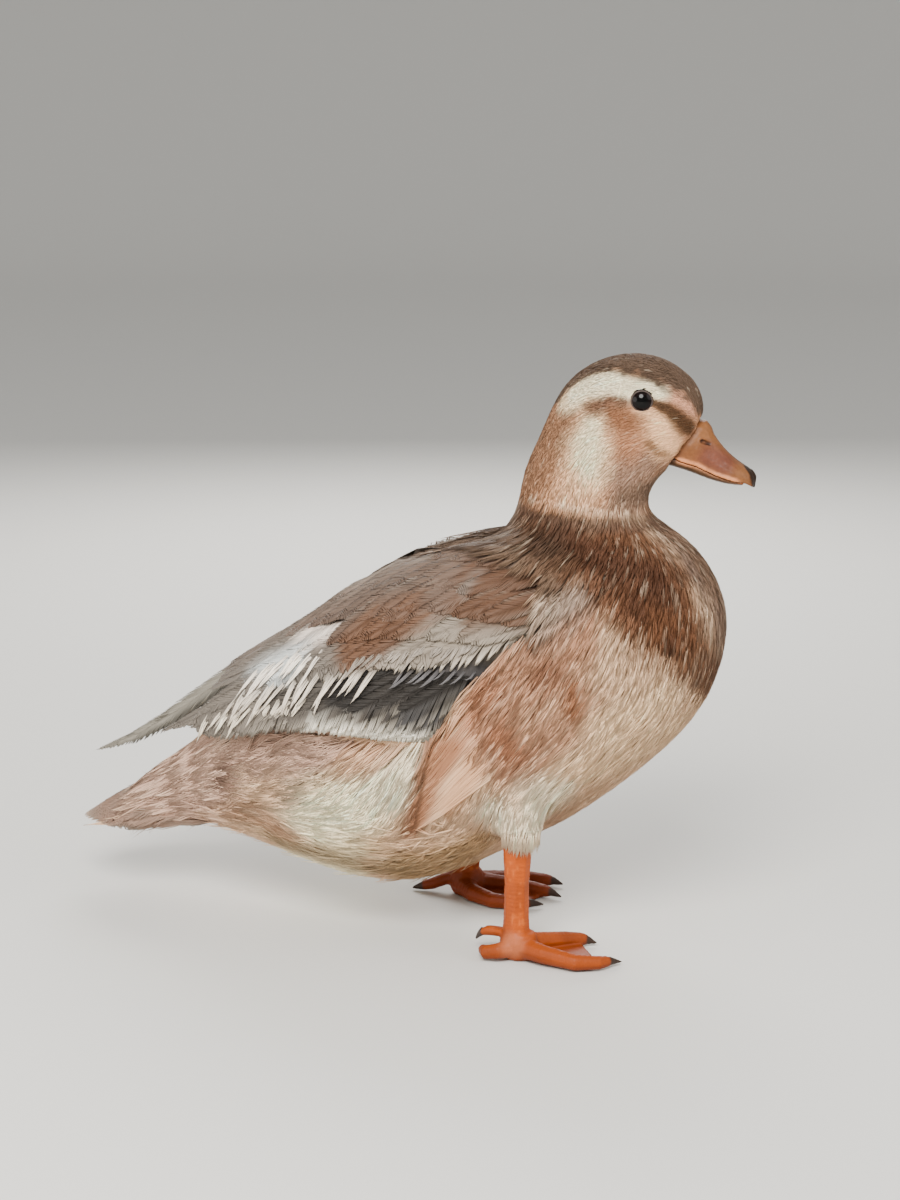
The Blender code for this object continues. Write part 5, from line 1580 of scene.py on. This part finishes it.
# The claws of each foot, each as a bent line from its root to its tip, from the ankle
CLAWS = {
    "right": [((38, 4.5, 3.2), (42.5, -0.5, 2.9), (46, -5, 0.9)),
              ((23, -22, 2.8), (27, -23.2, 2.6), (30, -24, 0.9)),
              ((-15.5, -3.4, 9.0), (-18, -3.6, 7), (-19, -3.6, 5))],
    "left": [((37, 5, 3.2), (41.5, 4.5, 2.9), (46, 4, 0.9)),
             ((30, -14.5, 2.8), (36, -11, 2.5), (41, -8, 0.9)),
             ((33, 21, 2.8), (37.5, 21.5, 2.6), (42, 21.5, 0.9)),
             ((-17, -2.2, 2.8), (-20.5, -2.6, 2.2), (-24, -3, 0.8))],
}


def leg_piece(word):
    nodes = ("leg_" + word, "foot_" + word)
    mesh = remeshed(word + "_leg", nodes, LEG_VOXEL, LEG_SMOOTHING)
    points, normals = corners(mesh)
    ankle = np.array(ANKLES[word])
    away = -1 if word == "right" else 1
    spread = np.linalg.norm(points[:, :2] - ankle, axis=1)
    shank = ease(10, 14, points[:, 2])
    rings = np.abs(np.sin(math.pi * (points[:, 2] + 0.8 * uneven(points, 6, 41)) / SCALE_PITCH)) ** 0.6
    arcs = np.abs(np.sin(math.pi * (spread + 0.8 * uneven(points, 6, 42)) / SCALE_PITCH)) ** 0.6
    on_top = ease(0.1, 0.6, normals[:, 2]) * ease(2.6, 3.6, points[:, 2])
    cracks = np.abs(uneven(points, 1.1, 43))
    scales = shank * (rings - 0.7) + (1 - shank) * on_top * (arcs - 0.7)
    relief = SCALE_RELIEF * scales + CRACK_RELIEF * (cracks - 0.4)
    creases = ease(44, 50, points[:, 2]) * 0.22 * np.sin(points[:, 2] * 2.4 + uneven(points, 5, 44))
    low = ease(0.15, 0.9, points[:, 2])
    creases -= 2.6 * ease(47, 52, points[:, 2])
    horn = np.zeros(len(points))
    for claw in CLAWS[word]:
        line = [(ankle[0] + x, ankle[1] + away * y, z, CLAW_REACH) for x, y, z in claw[1:]]
        horn = np.maximum(horn, 1 - ease(0.75, 1.15, stroke_distance(points, line)))
    relief -= CLAW_SINK * horn
    move_corners(mesh, points + normals * ((relief + creases) * low)[:, None])
    colours = plain(LEG_COLOURS[word], points)
    # Duller orange in blotches at random, and painted shade in the grooves between the shank's scales
    dull_and_painted_shade = 0.5 * ease(-0.2, 0.8, uneven(points, 7, 45)) + 0.35 * (1 - rings) * shank
    colours = blended(colours, DULL_ORANGE, dull_and_painted_shade)
    web = (1 - ease(2.2, 3.2, points[:, 2])) * (spread > 9)
    colours = blended(colours, WEB_COLOUR, 0.6 * web)
    sole = 1 - ease(0.1, 0.6, points[:, 2])
    colours = blended(colours, SOLE_COLOUR, 0.5 * sole)
    foot = 1 - ease(8, 16, points[:, 2])
    colours *= (1 - 0.36 * foot)[:, None]
    knuckle = np.array([ankle[0], ankle[1] + away * 6, 7.0])
    knob = 1 - ease(3, 8, np.linalg.norm(points - knuckle, axis=1))
    colours = blended(colours, KNUCKLE_COLOUR, 0.6 * knob)
    flecks = ease(0.35, 0.8, uneven(points, 1.5, 46)) * shank
    colours = blended(colours, FLECK_COLOUR, 0.35 * flecks)
    colours = blended(colours, HORN_COLOUR, horn)
    item = finished_piece(word + "_leg", mesh, colours, leg_finish)
    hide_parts(*nodes)


claw_finish = finish_reading_tint("claw_horn", 0.3, 0.6, 0.2, 0.5)
for word, claws in CLAWS.items():
    leg_piece(word)
    side = -1 if word == "right" else 1
    ankle = ANKLES[word]
    claw_set = bmesh.new()
    for claw in claws:
        bends = np.array([(ankle[0] + x, ankle[1] + side * y, z) for x, y, z in claw])
        before = set(claw_set.verts)
        bmesh.ops.create_cone(claw_set, cap_ends=True, segments=CLAW_SEGMENTS, radius1=1.0, radius2=0.36,
                              depth=1)
        upright = [edge for edge in claw_set.edges if abs(edge.verts[0].co.z - edge.verts[1].co.z) > 0.5]
        bmesh.ops.subdivide_edges(claw_set, edges=upright, cuts=CLAW_CUTS)
        for vertex in [vertex for vertex in claw_set.verts if vertex not in before]:
            share = vertex.co.z + 0.5
            middle = (1 - share) ** 2 * bends[0] + 2 * share * (1 - share) * bends[1] + share**2 * bends[2]
            along = unit(2 * (1 - share) * (bends[1] - bends[0]) + 2 * share * (bends[2] - bends[1]))
            across = unit(np.cross(along, (0, 0, 1.0)))
            high = np.cross(across, along)
            thick = 1.9 * (1 - 0.35 * share**2)
            spot = middle + across * vertex.co.x * thick * 0.85 + high * vertex.co.y * thick
            spot[2] = max(spot[2], 0.05)
            vertex.co = placed(spot)
    bmesh.ops.recalc_face_normals(claw_set, faces=claw_set.faces)
    claw_mesh = mesh_of(claw_set, word + "_claws")
    claw_colours = plain(CLAW_COLOUR, claw_mesh.vertices)
    finished_piece(word + "_claws", claw_mesh, claw_colours, claw_finish)
